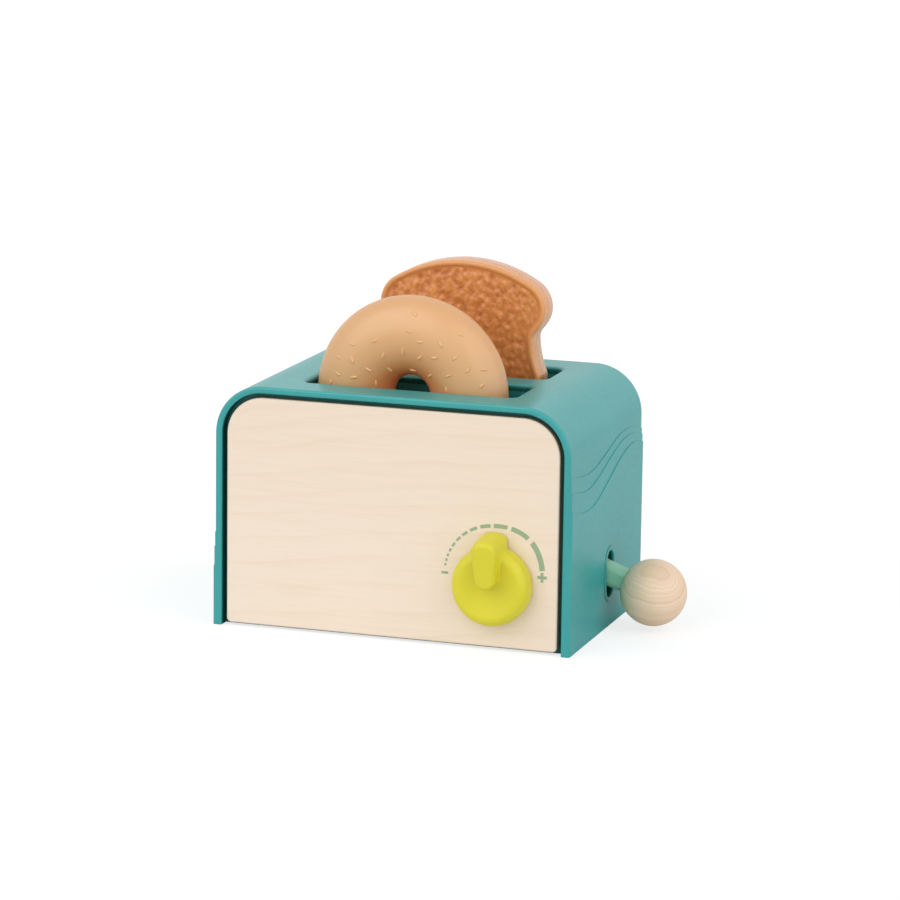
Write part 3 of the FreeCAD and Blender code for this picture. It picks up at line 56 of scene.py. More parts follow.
# Places of the screws that go through more than one piece.
BASE_SCREWS = [(x, y) for x in (-75.5, 75.5) for y in (-44.0, 44.0)]
CHUTE_SCREWS = [(x, y) for x in (-55.1, 57.6) for y in (-24.0, 24.0)]
BOARD_SCREWS = [(x, z) for x in (-75.0, 75.0) for z in (28.0, 80.0)]
BASE_SEAT, CHUTE_SEAT, BOARD_SEAT = 1.8, 96.6, 48.0
LONG_SCREW, SHORT_SCREW = 9.5, 7.0

# Fixed seeds of what is scattered.
SCATTER_SEED = 7
BAGEL_SEED = 11

Pair = tuple[float, float]
Point = tuple[float, float, float]
Colour = tuple[float, float, float]
Array = np.ndarray
Loop = np.ndarray


class Side(Enum):
    """The two sides of a piece that comes in halves or pairs."""

    LOW = -1
    HIGH = 1


# ---- plane figures

def arc(centre: Pair, radius: float, start: float, end: float, steps: int) -> Loop:
    """Samples an arc between two angles in degrees, with both ends and a number of equal steps."""
    angles = np.radians(np.linspace(start, end, steps + 1))
    return np.column_stack((centre[0] + radius * np.cos(angles), centre[1] + radius * np.sin(angles)))


def rounded_rectangle(low: Pair, high: Pair, radius: float, grow: float = 0.0, steps: int = 8) -> Loop:
    """Samples a rectangle with round corners, counter-clockwise; growing keeps the corners' centres."""
    corners = ((high[0] - radius, low[1] + radius, -90), (high[0] - radius, high[1] - radius, 0),
               (low[0] + radius, high[1] - radius, 90), (low[0] + radius, low[1] + radius, 180))
    return np.vstack([arc((x, y), radius + grow, turn, turn + 90, steps) for x, y, turn in corners])


def stadium(middle: float, low: float, high: float, radius: float, grow: float, steps: int = 16) -> Loop:
    """Samples an upright slot with round ends, counter-clockwise; growing moves it outwards."""
    return np.vstack((arc((middle, high - radius), radius + grow, 0, 180, steps),
                      arc((middle, low + radius), radius + grow, 180, 360, steps)))


def circle(centre: Pair, radius: float, steps: int = 20) -> Loop:
    """Samples a full circle without a doubled end point."""
    return arc(centre, radius, 0, 360, steps)[:-1]


def arch(half: float, low: float, high: float, radius: float, steps: int = 20) -> Loop:
    """Samples an outline with two round upper corners, counter-clockwise from its lower left corner."""
    return np.vstack(([[-half, low], [half, low]],
                      arc((half - radius, high - radius), radius, 0, 90, steps),
                      arc((radius - half, high - radius), radius, 90, 180, steps)))


def cross(arm: float, half: float) -> Loop:
    """Draws an upright cross around the origin, from the reach and half the width of its arms."""
    return np.array([(half, half), (half, arm), (-half, arm), (-half, half), (-arm, half), (-arm, -half),
                     (-half, -half), (-half, -arm), (half, -arm), (half, -half), (arm, -half), (arm, half)])


def inside(points: Array, loop: Loop) -> Array:
    """Tells which points lie inside a closed loop, by the even-odd rule.

    Args:
        points: Points, one row each.
        loop: Corners of the loop, one row each.

    Returns:
        True for each point inside.
    """
    x, y = points[:, :1], points[:, 1:2]
    start, end = loop, np.roll(loop, -1, axis=0)
    crosses = (start[:, 1] > y) != (end[:, 1] > y)
    rise = np.where(end[:, 1] == start[:, 1], 1e-12, end[:, 1] - start[:, 1])
    reach = start[:, 0] + (y - start[:, 1]) * (end[:, 0] - start[:, 0]) / rise
    return (crosses & (x < reach)).sum(axis=1) % 2 == 1


def within(points: Array, loops: list[Loop]) -> Array:
    """Tells which points lie inside the first loop and outside the others."""
    outer, *holes = (inside(points, loop) for loop in loops)
    return outer & ~np.any(holes, axis=0)


def nearest(points: Array, others: Array) -> Array:
    """Returns the distance from each point to the nearest of some others."""
    return np.array([np.min(np.hypot(*(others - point).T)) for point in points])


def spread(loops: list[Loop], pitch: float, margin: float, jitter: float = 0.0) -> Array:
    """Lays a grid of points inside the first loop and outside the others.

    Args:
        loops: Outer loop, then holes.
        pitch: Distance between neighbours.
        margin: Least distance from any loop point.
        jitter: Random shift of each point as a share of the pitch.

    Returns:
        Points, one row each.
    """
    low, high = loops[0].min(axis=0), loops[0].max(axis=0)
    columns = np.arange(low[0] + pitch / 2, high[0], pitch)
    rows = np.arange(low[1] + pitch / 2, high[1], pitch)
    points = np.array([(x + (row % 2) * pitch / 2, y) for row, y in enumerate(rows) for x in columns])
    if not len(points):
        return np.zeros((0, 2))
    points += np.random.default_rng(SCATTER_SEED).uniform(-jitter, jitter, points.shape) * pitch
    return points[within(points, loops) & (nearest(points, np.vstack(loops)) > margin)]


def triangles(loops: list[Loop], extra: Array) -> list[tuple[int, ...]]:
    """Triangulates the area inside the first loop and outside the others.

    Args:
        loops: Outer loop, then holes.
        extra: Further points inside the area.

    Returns:
        Faces that number the loops' points in order and then the further points.
    """
    points = np.vstack([*loops, extra])
    edges, first = [], 0
    for loop in loops:
        count = len(loop)
        edges += [(first + i, first + (i + 1) % count) for i in range(count)]
        first += count
    made = delaunay_2d_cdt([Vector(point) for point in points], edges, [], 0, 1e-6)
    origin = [numbers[0] for numbers in made[3]]
    faces = [tuple(origin[corner] for corner in face) for face in made[2]]
    middles = np.array([points[list(face)].mean(axis=0) for face in faces])
    return [face for face, kept in zip(faces, within(middles, loops)) if kept]


def quads(lines: int, columns: int, closed: bool) -> list[tuple[int, ...]]:
    """Numbers the faces of a grid of points.

    Args:
        lines: Number of lines.
        columns: Points in each line.
        closed: Joins the last column to the first.

    Returns:
        Faces with four corners each.
    """
    faces = []
    for line in range(lines - 1):
        for column in range(columns if closed else columns - 1):
            right = (column + 1) % columns
            faces.append((line * columns + column, line * columns + right,
                          (line + 1) * columns + right, (line + 1) * columns + column))
    return faces


def raised(plane: Loop, axes: tuple[int, int], level: float) -> Array:
    """Lifts plane points into space.

    Args:
        plane: Points in the plane.
        axes: Which coordinates they give.
        level: The third coordinate.

    Returns:
        Points in space, one row each.
    """
    points = np.full((len(plane), 3), float(level))
    points[:, list(axes)] = plane
    return points


def natural_spline(knots: Array, values: Array, at: Array) -> Array:
    """Reads a cubic spline with unbent ends.

    Args:
        knots: Rising places of the known values.
        values: Known values.
        at: Places to read.

    Returns:
        The spline's values at those places.
    """
    gap = np.diff(knots)
    size = len(knots)
    system, right = np.eye(size), np.zeros(size)
    for i in range(1, size - 1):
        system[i, i - 1:i + 2] = gap[i - 1], 2 * (gap[i - 1] + gap[i]), gap[i]
        right[i] = 6 * ((values[i + 1] - values[i]) / gap[i] - (values[i] - values[i - 1]) / gap[i - 1])
    bend = np.linalg.solve(system, right)
    k = np.clip(np.searchsorted(knots, at) - 1, 0, size - 2)
    before, after, g = at - knots[k], knots[k + 1] - at, gap[k]
    return ((bend[k] * after ** 3 + bend[k + 1] * before ** 3) / (6 * g)
            + (values[k] / g - bend[k] * g / 6) * after
            + (values[k + 1] / g - bend[k + 1] * g / 6) * before)


def round_corner(first: Array, second: Array, radius: float) -> Array:
    """Returns the signed distance to a round corner, from the distances past its centre both ways."""
    outer = np.hypot(np.maximum(first, 0), np.maximum(second, 0))
    return np.minimum(np.maximum(first, second), 0) + outer - radius


def smooth_step(value: Array) -> Array:
    """Rises smoothly from 0 to 1 while the value goes from 0 to 1."""
    t = np.clip(value, 0.0, 1.0)
    return t * t * (3 - 2 * t)


# ---- meshes

class Patchwork:
    """Patches of faces, in millimetres, that are welded into one mesh."""

    WELD = 2e-6
    SLIVER = 1e-7

    def __init__(self) -> None:
        """Starts with no patches."""
        self.points: list[Array] = []
        self.faces: list[tuple[int, ...]] = []
        self.count = 0

    def add(self, points: Array, faces: list[tuple[int, ...]]) -> None:
        """Adds a patch.

        Args:
            points: Its points, one row each.
            faces: Its faces, which number its own points.
        """
        self.points.append(np.asarray(points, float))
        self.faces += [tuple(self.count + corner for corner in face) for face in faces]
        self.count += len(points)

    def grid(self, rows: Array, closed: bool = False) -> None:
        """Adds a patch of quads between rows of points; a closed one joins its last and first column."""
        rows = np.asarray(rows, float)
        self.add(rows.reshape(-1, 3), quads(*rows.shape[:2], closed))

    def flat(self, loops: list[Loop], axes: tuple[int, int], level: float, pitch: float = 0.0) -> None:
        """Adds a flat patch with holes, and with points inside at a pitch unless it is 0."""
        extra = spread(loops, pitch, pitch / 2) if pitch else np.zeros((0, 2))
        self.add(raised(np.vstack([*loops, extra]), axes, level), triangles(loops, extra))

    def turned(self, profile: Array, steps: int, place: Matrix = Matrix.Identity(4)) -> None:
        """Adds a turned solid.

        Args:
            profile: Points as distance along the axis and radius.
            steps: Segments of the turn.
            place: Takes the local frame, whose Z is the axis, to the piece.
        """
        angles = np.linspace(0, 2 * math.pi, steps, endpoint=False)
        rows = np.array([[place @ Vector((radius * math.cos(angle), radius * math.sin(angle), along))
                          for angle in angles] for along, radius in profile])
        self.grid(rows, closed=True)

    def plate(self, loops: list[Loop], axes: tuple[int, int], low: float, high: float) -> None:
        """Adds a flat plate with holes as a closed solid.

        Args:
            loops: Outer loop, then holes, in the plate's plane.
            axes: Which coordinates the loops give.
            low: Third coordinate of one face.
            high: Third coordinate of the other face.
        """
        for level in (low, high):
            self.flat(loops, axes, level)
        for loop in loops:
            self.grid(np.array([raised(loop, axes, level) for level in (low, high)]), closed=True)

    def mesh(self, name: str, crease: float = 32.0) -> Mesh:
        """Welds the patches.

        Args:
            name: Name of the mesh.
            crease: Angle in degrees past which an edge stays sharp.

        Returns:
            A mesh in metres with its faces pointing outwards.
        """
        made = bpy.data.meshes.new(name)
        made.from_pydata((np.vstack(self.points) * MM).tolist(), [], self.faces)
        weld(made, self.WELD, crease, self.SLIVER)
        return made


def weld(mesh: Mesh, reach: float, crease: float, sliver: float = 0.0) -> None:
    """Welds a mesh, turns its faces outwards and smooths it.

    Args:
        mesh: The mesh, in metres.
        reach: Points closer than this many metres become one; 0 keeps them apart.
        crease: Angle in degrees past which an edge stays sharp; 0 smooths every edge.
        sliver: Faces thinner than this many metres are taken out; 0 keeps them.
    """
    work = bmesh.new()
    work.from_mesh(mesh)
    if reach:
        bmesh.ops.remove_doubles(work, verts=work.verts, dist=reach)
    if sliver:
        bmesh.ops.dissolve_degenerate(work, edges=work.edges, dist=sliver)
    bmesh.ops.recalc_face_normals(work, faces=work.faces)
    work.to_mesh(mesh)
    work.free()
    mesh.shade_smooth()
    if crease:
        mesh.set_sharp_from_angle(angle=math.radians(crease))


def points_of(mesh: Mesh) -> Array:
    """Reads the points of a mesh.

    Args:
        mesh: The mesh, in metres.

    Returns:
        Points in millimetres, one row each.
    """
    flat = np.zeros(len(mesh.vertices) * 3)
    mesh.vertices.foreach_get("co", flat)
    return flat.reshape(-1, 3) / MM


def mark(mesh: Mesh, key: str, values: Array) -> None:
    """Stores a number or a direction at each point of a mesh.

    Args:
        mesh: The mesh.
        key: Name of the attribute.
        values: One number or one row of three for each point.
    """
    rows = np.asarray(values, np.float32)
    kind, field = ("FLOAT_VECTOR", "vector") if rows.ndim == 2 else ("FLOAT", "value")
    mesh.attributes.new(key, kind, "POINT").data.foreach_set(field, rows.ravel())


def new_piece(name: str, mesh: Mesh, finish: Material) -> Object:
    """Puts a mesh into the scene as a piece with one finish.

    Args:
        name: Name of the piece.
        mesh: Its mesh, in metres.
        finish: Its only material.

    Returns:
        The piece.
    """
    mesh.materials.clear()
    mesh.materials.append(finish)
    piece = bpy.data.objects.new(name, mesh)
    bpy.context.scene.collection.objects.link(piece)
    return piece


def settle(piece: Object) -> None:
    """Turns a piece's modifiers into a plain mesh and takes them off.

    Args:
        piece: The piece, in the scene.
    """
    graph = bpy.context.evaluated_depsgraph_get()
    mesh = bpy.data.meshes.new_from_object(piece.evaluated_get(graph), preserve_all_data_layers=True,
                                           depsgraph=graph)
    piece.modifiers.clear()
    spare = piece.data
    piece.data = mesh
    bpy.data.meshes.remove(spare)
    mesh.name = piece.name


def even_normals(piece: Object) -> None:
    """Keeps large flat faces flat beside their rounded edges.

    Args:
        piece: The piece, in the scene.
    """
    weighting = piece.modifiers.new("even", "WEIGHTED_NORMAL")
    weighting.keep_sharp = True
    weighting.weight = 90
    settle(piece)


def mount(piece: Object, body: str, slot: str, *nodes: str) -> Object:
    """Hands a finished piece to the frame.

    Args:
        piece: The piece, in place.
        body: Body that it moves with.
        slot: Material slot of the record; not used.
        nodes: Nodes that it stands for.

    Returns:
        The piece.
    """
    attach(piece, body)
    if nodes:
        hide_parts(*nodes)
    LOG.info("%s: %d faces on %s", piece.name, len(piece.data.polygons), body)
    return piece


def dress(finish: Material, *nodes: str) -> None:
    """Gives nodes of the frame a finish.

    Args:
        finish: Material for all their slots.
        nodes: Names of the nodes.
    """
    for node in nodes:
        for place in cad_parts[node].material_slots:
            place.material = finish
        LOG.info("%s: dressed in %s", node, finish.name)


# ---- finishes

def shade(*seen: int) -> Colour:
    """Turns red, green and blue as they are seen, 0 to 255, into the light returned, 0 to 1."""
    parts = [value / 255 for value in seen]
    return tuple(part / 12.92 if part <= 0.04045 else ((part + 0.055) / 1.055) ** 2.4 for part in parts)


class NodeNet:
    """A node tree that is built node by node."""

    def __init__(self, tree: NodeTree) -> None:
        """Takes an empty tree."""
        self.tree = tree

    def node(self, kind: str, inputs: dict | None = None, **settings: object) -> Node:
        """Adds a node.

        Args:
            kind: Type of the node.
            inputs: Values or sockets by input name or number.
            settings: Attributes of the node.

        Returns:
            The node.
        """
        made = self.tree.nodes.new(kind)
        for key, value in settings.items():
            setattr(made, key, value)
        for key, value in (inputs or {}).items():
            if isinstance(value, Socket):
                self.tree.links.new(value, made.inputs[key])
            elif isinstance(value, tuple) and len(value) == 3 and made.inputs[key].type == "RGBA":
                made.inputs[key].default_value = (*value, 1.0)
            else:
                made.inputs[key].default_value = value
        return made

    def maths(self, operation: str, first: object, second: object = 0.0, third: object = 0.0) -> Socket:
        """Returns a sum, product or other plain operation."""
        return self.node("ShaderNodeMath", {0: first, 1: second, 2: third}, operation=operation).outputs[0]


class Bench(NodeNet):
    """A material's node tree, with the places on the piece in metres."""

    USUAL = (0.3, 0.7)

    def __init__(self, name: str) -> None:
        """Starts an empty material.

        Args:
            name: Name of the material.
        """
        self.material = bpy.data.materials.new(name)
        self.material.use_nodes = True
        super().__init__(self.material.node_tree)
        self.tree.nodes.clear()
        self.place = self.shader("TexCoord").outputs["Object"]

    def shader(self, kind: str, inputs: dict | None = None, **settings: object) -> Node:
        """Adds a shader node, which is named without its prefix."""
        return self.node(f"ShaderNode{kind}", inputs, **settings)

    def marked(self, key: str) -> Socket:
        """Reads a number that the mesh stores."""
        return self.shader("Attribute", attribute_name=key).outputs["Fac"]

    def parts(self, place: Socket | None = None) -> bpy.types.bpy_prop_collection:
        """Splits a place into X, Y and Z; the place on the piece if none is named."""
        return self.shader("SeparateXYZ", {0: place or self.place}).outputs

    def stretch(self, scale: Point, turn: Point = (0, 0, 0), middle: Point = (0, 0, 0)) -> Socket:
        """Makes a middle the origin of the place on the piece, turns it in radians and scales it."""
        centred = self.shader("VectorMath", {0: self.place, 1: tuple(-c for c in middle)}, operation="ADD")
        return self.shader("Mapping", {"Vector": centred.outputs[0], "Rotation": turn,
                                       "Scale": scale}).outputs[0]

    def grain(self, vector: Socket, scale: float, detail: float = 2.0, rough: float = 0.5) -> Socket:
        """Returns cloudy noise from 0 to 1, most of it in the usual range."""
        return self.shader("TexNoise", {"Vector": vector, "Scale": scale, "Detail": detail,
                                        "Roughness": rough}).outputs["Fac"]

    def fit(self, value: Socket, low: float, high: float, start: float = 0.0, end: float = 1.0) -> Socket:
        """Returns a value whose range low to high has become start to end."""
        return self.shader("MapRange", {"Value": value, "From Min": low, "From Max": high,
                                        "To Min": start, "To Max": end}, clamp=True).outputs[0]

    def blend(self, share: object, first: object, second: object) -> Socket:
        """Returns a mix of two colours."""
        return self.shader("Mix", {0: share, 6: first, 7: second}, data_type="RGBA").outputs[2]

    def bump(self, height: Socket, relief: float, strength: float = 1.0) -> Socket:
        """Returns a normal for a height whose full relief is given in millimetres."""
        made = self.shader("Bump", {"Height": height, "Distance": relief * MM, "Strength": strength})
        return made.outputs[0]

    def finish(self, surface: Socket) -> Material:
        """Closes the material with a surface and returns it."""
        self.shader("OutputMaterial", {"Surface": surface})
        return self.material

    def coat(self, **inputs: object) -> Material:
        """Closes the material with the usual surface, whose inputs are named in words."""
        names = {key.replace("_", " ").title().replace("Ior", "IOR"): value for key, value in inputs.items()}
        return self.finish(self.shader("BsdfPrincipled", names).outputs[0])


@dataclass(frozen=True)
class MouldedPlastic:
    """Satin plastic with a fine moulded texture, with painted shade where the mesh marks a hollow.

    The rim is the casing's half depth, and the painted shade's colour fades out just behind it.
    """

    name: str
    colour: Colour
    deep: Colour
    roughness: float = 0.42
    texture: float = 0.012
    bleed: float = 0.0
    shine: float = 0.5
    # The colour and the lower shine of the shade painted into hollows.
    hollow: Colour | None = None
    painted_shade_shine: float = 0.1
    rim: float = 57.0
    behind_rim: Pair = (1.9, 0.5)
    cloud_scale: float = 22.0
    speck_scale: float = 700.0
    fine_scale: float = 2600.0

    def make(self) -> Material:
        """Builds the material.

        Returns:
            The finished material.
        """
        bench = Bench(self.name)
        cloud = bench.grain(bench.place, self.cloud_scale, 3.0)
        tone = bench.blend(bench.fit(cloud, *bench.USUAL), self.colour, self.deep)
        shine = self.shine
        # Painted shade: the marked hollows are darkened and lose shine, fading in just behind the rim.
        if self.hollow:
            far, near = ((self.rim - inset) * MM for inset in self.behind_rim)
            behind = bench.fit(bench.maths("ABSOLUTE", bench.parts()["Y"]), far, near, 1.0, 0.0)
            deep = bench.maths("MULTIPLY", bench.marked("hollow"), behind)
            tone = bench.blend(deep, tone, self.hollow)
            shine = bench.fit(deep, 0.0, 1.0, self.shine, self.painted_shade_shine)
        fine = bench.grain(bench.place, self.fine_scale, 2.0, 0.6)
        speck = bench.grain(bench.place, self.speck_scale)
        rough = bench.fit(speck, *bench.USUAL, self.roughness - 0.04, self.roughness + 0.05)
        return bench.coat(base_color=tone, roughness=rough, normal=bench.bump(fine, self.texture),
                          specular_ior_level=shine, subsurface_weight=self.bleed,
                          subsurface_scale=0.002, subsurface_radius=(1.0, 0.6, 0.35))


@dataclass(frozen=True)
class SawnBoard:
    """Pale board with faint growth lines and fine fibres that rise a little to the right.

    The face is the depth in millimetres behind which the board's edge takes the colour side, painted shade
    for the gap around the board.
    """

    name: str
    pale: Colour
    warm: Colour
    fibre: Colour
    # The colour of the board's edges is painted shade for the dark gap around it.
    side: Colour
    face: float = 55.3
    edge: float = 0.2
    slope: float = -0.11
    through: float = 0.7
    drift: float = 0.022
    ripple: float = 0.004
    line_scale: float = 31.0
    line_wander: float = 2.6
    fibre_turn: float = -0.09
    warmer: Pair = (0.030, 0.085)

    def make(self) -> Material:
        """Builds the material.

        Returns:
            The finished material.
        """
        bench = Bench(self.name)
        parts = bench.parts()
        turn = (0.0, self.fibre_turn, 0.0)
        fibres = bench.grain(bench.stretch((45.0, 600.0, 2300.0), turn), 1.0, 3.0, 0.6)
        streaks = bench.grain(bench.stretch((14.0, 200.0, 420.0), turn), 1.0)
        cloud = bench.grain(bench.stretch((9.0, 9.0, 14.0)), 1.0)
        tone = bench.blend(bench.fit(parts["Z"], *self.warmer, 0.0, 0.26), self.pale, self.warm)
        tone = bench.blend(bench.maths("MULTIPLY", self.lines(bench), 0.50), tone, self.warm)
        tone = bench.blend(bench.fit(streaks, 0.52, 0.85, 0.0, 0.35), tone, self.warm)
        tone = bench.blend(bench.fit(fibres, 0.50, 0.85, 0.0, 0.24), tone, self.fibre)
        tone = bench.blend(bench.fit(cloud, 0.3, 0.75, 0.0, 0.22), tone, self.warm)
        # Painted shade: the board's edges behind the face take the side colour.
        behind = bench.fit(bench.maths("ABSOLUTE", parts["Y"]), (self.face - self.edge) * MM, self.face * MM,
                           1.0, 0.0)
        tone = bench.blend(behind, tone, self.side)
        return bench.coat(base_color=tone, roughness=bench.fit(fibres, 0.3, 0.8, 0.50, 0.62),
                          normal=bench.bump(fibres, 0.02, 0.6), specular_ior_level=0.35)

    def lines(self, bench: Bench) -> Socket:
        """Draws the growth lines, which wander through the board and fade in places.

        Args:
            bench: The board's tree.

        Returns:
            How strong a line is at each place, from 0 to 1.
        """
        parts = bench.parts()
        drift = bench.grain(bench.stretch((6.0, 6.0, 14.0)), 1.0, 1.0)
        ripple = bench.grain(bench.stretch((30.0, 30.0, 60.0)), 1.0)
        layer = bench.maths("MULTIPLY_ADD", parts["X"], self.slope, parts["Z"])
        for part, weight in ((drift, self.drift), (ripple, self.ripple), (parts["Y"], self.through)):
            layer = bench.maths("MULTIPLY_ADD", part, weight, layer)
        layers = bench.shader("CombineXYZ", {2: layer}).outputs[0]
        wave = bench.shader("TexWave", {"Vector": layers, "Scale": self.line_scale, "Detail": 2.0,
                                        "Distortion": self.line_wander, "Detail Scale": 1.4},
                            bands_direction="Z", wave_profile="SAW")
        line = bench.fit(wave.outputs["Fac"], 0.45, 1.0)
        patchy = bench.grain(bench.stretch((16.0, 16.0, 60.0)), 1.0)
        return bench.maths("MULTIPLY", bench.maths("MULTIPLY", line, line), bench.fit(patchy, 0.36, 0.66))


@dataclass(frozen=True)
class TurnedWood:
    """Pale turned wood whose bowed layers lie across a leaning pole."""

    name: str
    pale: Colour
    ring: Colour
    middle: Point
    pole: Point
    bow: float = 0.012
    wander: float = 2.6
    ring_scale: float = 0.85
    fine_scale: float = 2.4

    def make(self) -> Material:
        """Builds the material.

        Returns:
            The finished material.
        """
        bench = Bench(self.name)
        turn = (math.atan2(self.pole[1], self.pole[2]), math.asin(-self.pole[0]), 0.0)
        place = bench.stretch((1 / MM,) * 3, turn, self.middle)
        parts = bench.parts(place)
        height = bench.maths("MULTIPLY_ADD", bench.maths("MULTIPLY", parts["X"], parts["X"]), self.bow,
                             parts["Z"])
        height = bench.maths("MULTIPLY_ADD", bench.grain(place, 0.09), self.wander, height)
        layers = bench.shader("CombineXYZ", {2: height}).outputs[0]
        rings = bench.grain(layers, self.ring_scale, 2.5, 0.7)
        fine = bench.grain(layers, self.fine_scale, 1.0, 0.6)
        drawn = bench.shader("Mapping", {"Vector": place, "Scale": (0.5, 4.0, 4.0)}).outputs[0]
        pores = bench.grain(drawn, 1.0, 2.0, 0.6)
        tone = bench.blend(bench.fit(rings, 0.38, 0.68), self.pale, self.ring)
        tone = bench.blend(bench.fit(fine, 0.50, 0.75, 0.0, 0.45), tone, self.ring)
        tone = bench.blend(bench.fit(pores, 0.58, 0.80, 0.0, 0.50), tone, self.ring)
        return bench.coat(base_color=tone, roughness=bench.fit(pores, 0.3, 0.8, 0.46, 0.60),
                          normal=bench.bump(pores, 0.02, 0.6), specular_ior_level=0.35)


@dataclass(frozen=True)
class BakedRing:
    """Bread-coloured plastic that is browner towards the hole of a ring."""

    name: str
    crust: Colour
    brown: Colour
    middle: Point
    hole: float
    rim: float
    browning: Pair = (2.5, 25.0)
    browning_power: float = 1.6
    wander: float = 5.0
    rim_band: float = 4.0
    gloss: Pair = (0.30, 0.35)

    def make(self) -> Material:
        """Builds the material.

        Returns:
            The finished material.
        """
        bench = Bench(self.name)
        centred = bench.stretch((1 / MM, 0.0, 1 / MM), (0, 0, 0), self.middle)
        reach = bench.shader("VectorMath", {0: centred}, operation="LENGTH").outputs["Value"]
        wavy = bench.maths("MULTIPLY_ADD", bench.grain(bench.place, 45.0, 3.0), self.wander, reach)
        start, end = (self.hole + away for away in self.browning)
        inner = bench.maths("POWER", bench.fit(wavy, start, end, 1.0, 0.0), self.browning_power)
        tone = bench.blend(inner, self.crust, self.brown)
        outer = bench.fit(wavy, self.rim - self.rim_band, self.rim + self.rim_band, 0.0, 0.12)
        tone = bench.blend(outer, tone, self.brown)
        speck = bench.grain(bench.place, 900.0, 3.0, 0.6)
        rough = bench.fit(bench.grain(bench.place, 160.0, 3.0), *bench.USUAL, *self.gloss)
        return bench.coat(base_color=tone, roughness=rough, normal=bench.bump(speck, 0.012, 0.6),
                          specular_ior_level=0.7, subsurface_weight=0.10, subsurface_scale=0.003,
                          subsurface_radius=(1.0, 0.55, 0.30))


@dataclass(frozen=True)
class ToastedSlice:
    """Toast: a smooth pale crust and a browner, rougher crumb that the mesh marks."""

    name: str
    crust: Colour
    edge: Colour
    crumb: Colour
    # The pit colour darkens the crumb's low points, partly its own browner tone and partly painted shade,
    # and darkens the crumb towards the bottom.
    pit: Colour
    low: float = 0.105
    high: float = 0.150
    pit_scale: float = 1000.0
    pit_relief: float = 0.22
    crust_share: float = 0.08
    gloss: Pair = (0.24, 0.34)

    def make(self) -> Material:
        """Builds the material.

        Returns:
            The finished material.
        """
        bench = Bench(self.name)
        zone = bench.marked("crumb_zone")
        # Low points of the crumb take the pit colour: partly the crumb's own tone, partly painted shade in
        # its hollows.
        crumb = bench.blend(bench.fit(bench.marked("crumb_swell"), 0.2, 0.9), self.pit, self.crumb)
        fall = bench.fit(bench.parts()["Z"], self.low, self.high, 0.70, 0.0)
        crumb = bench.blend(fall, crumb, self.pit)
        crust = bench.blend(bench.marked("crust_wall"), self.crust, self.edge)
        cloud = bench.grain(bench.place, 60.0, 3.0)
        crust = bench.blend(bench.fit(cloud, 0.35, 0.75, 0.0, 0.35), crust, self.crumb)
        tone = bench.blend(zone, crust, crumb)
        pits = bench.grain(bench.place, self.pit_scale, 3.0, 0.65)
        relief = bench.maths("MULTIPLY_ADD", zone, 1.0 - self.crust_share, self.crust_share)
        normal = bench.bump(bench.maths("MULTIPLY", pits, relief), self.pit_relief, 0.9)
        rough = bench.fit(bench.grain(bench.place, 300.0), *bench.USUAL, *self.gloss)
        return bench.coat(base_color=tone, roughness=rough, normal=normal,
                          specular_ior_level=0.6, subsurface_weight=0.06, subsurface_scale=0.002,
                          subsurface_radius=(1.0, 0.55, 0.30))


@dataclass(frozen=True)
class PrintedInk:
    """Flat print on wood, a little uneven where the fibres show through."""

    name: str
    colour: Colour
    worn: Colour

    def make(self) -> Material:
        """Builds the material.

        Returns:
            The finished material.
        """
        bench = Bench(self.name)
        fibres = bench.grain(bench.stretch((90.0, 600.0, 1900.0)), 1.0, 3.0, 0.6)
        tone = bench.blend(bench.fit(fibres, 0.55, 0.85, 0.0, 0.5), self.colour, self.worn)
        return bench.coat(base_color=tone, roughness=bench.fit(fibres, 0.3, 0.8, 0.50, 0.62),
                          specular_ior_level=0.3)


@dataclass(frozen=True)
class PlatedSteel:
    """Zinc-plated steel with fine turning marks."""

    name: str
    bright: Colour
    dull: Colour

    def make(self) -> Material:
        """Builds the material.

        Returns:
            The finished material.
        """
        bench = Bench(self.name)
        cloud = bench.grain(bench.place, 400.0, 3.0)
        marks = bench.grain(bench.stretch((3000.0, 3000.0, 300.0)), 1.0)
        tone = bench.blend(bench.fit(cloud, *bench.USUAL), self.bright, self.dull)
        rough = bench.fit(marks, *bench.USUAL, 0.26, 0.40)
        return bench.coat(base_color=tone, metallic=1.0, roughness=rough, normal=bench.bump(marks, 0.004))


class Finish:
    """The finishes of the toaster, each made once."""

    def __init__(self) -> None:
        """Makes every finish."""
        # The teal's hollow colour is painted shade for the casing's slots, gaps and inside.
        self.teal = MouldedPlastic("teal_plastic", shade(50, 163, 161), shade(46, 156, 155), 0.34,
                                   shine=0.6, hollow=shade(18, 84, 80)).make()
        # The well is a darker, duller copy of the teal: painted shade for the chute and tray seen through
        # the slots.
        self.well = MouldedPlastic("teal_well", shade(42, 140, 139), shade(38, 133, 132), 0.55,
                                   shine=0.2).make()
        self.mint = MouldedPlastic("mint_plastic", shade(150, 208, 178), shade(142, 200, 170)).make()
        self.yellow = MouldedPlastic("yellow_plastic", shade(226, 217, 48), shade(219, 209, 42), 0.40,
                                     0.010, 0.05).make()
        self.white = MouldedPlastic("inner_plastic", shade(232, 231, 226), shade(224, 223, 217)).make()
        self.rubber = MouldedPlastic("washer_rubber", shade(58, 58, 60), shade(50, 50, 52), 0.75,
                                     0.030).make()
        # The board's last colour is painted shade on its edges.
        self.board = SawnBoard("pale_board", shade(245, 229, 210), shade(235, 212, 187),
                               shade(222, 198, 172), shade(160, 150, 128)).make()
        self.steel = PlatedSteel("zinc_steel", shade(205, 205, 208), shade(176, 177, 182)).make()
        self.ink = PrintedInk("scale_ink", shade(156, 178, 145), shade(180, 192, 165)).make()


# ---- fasteners

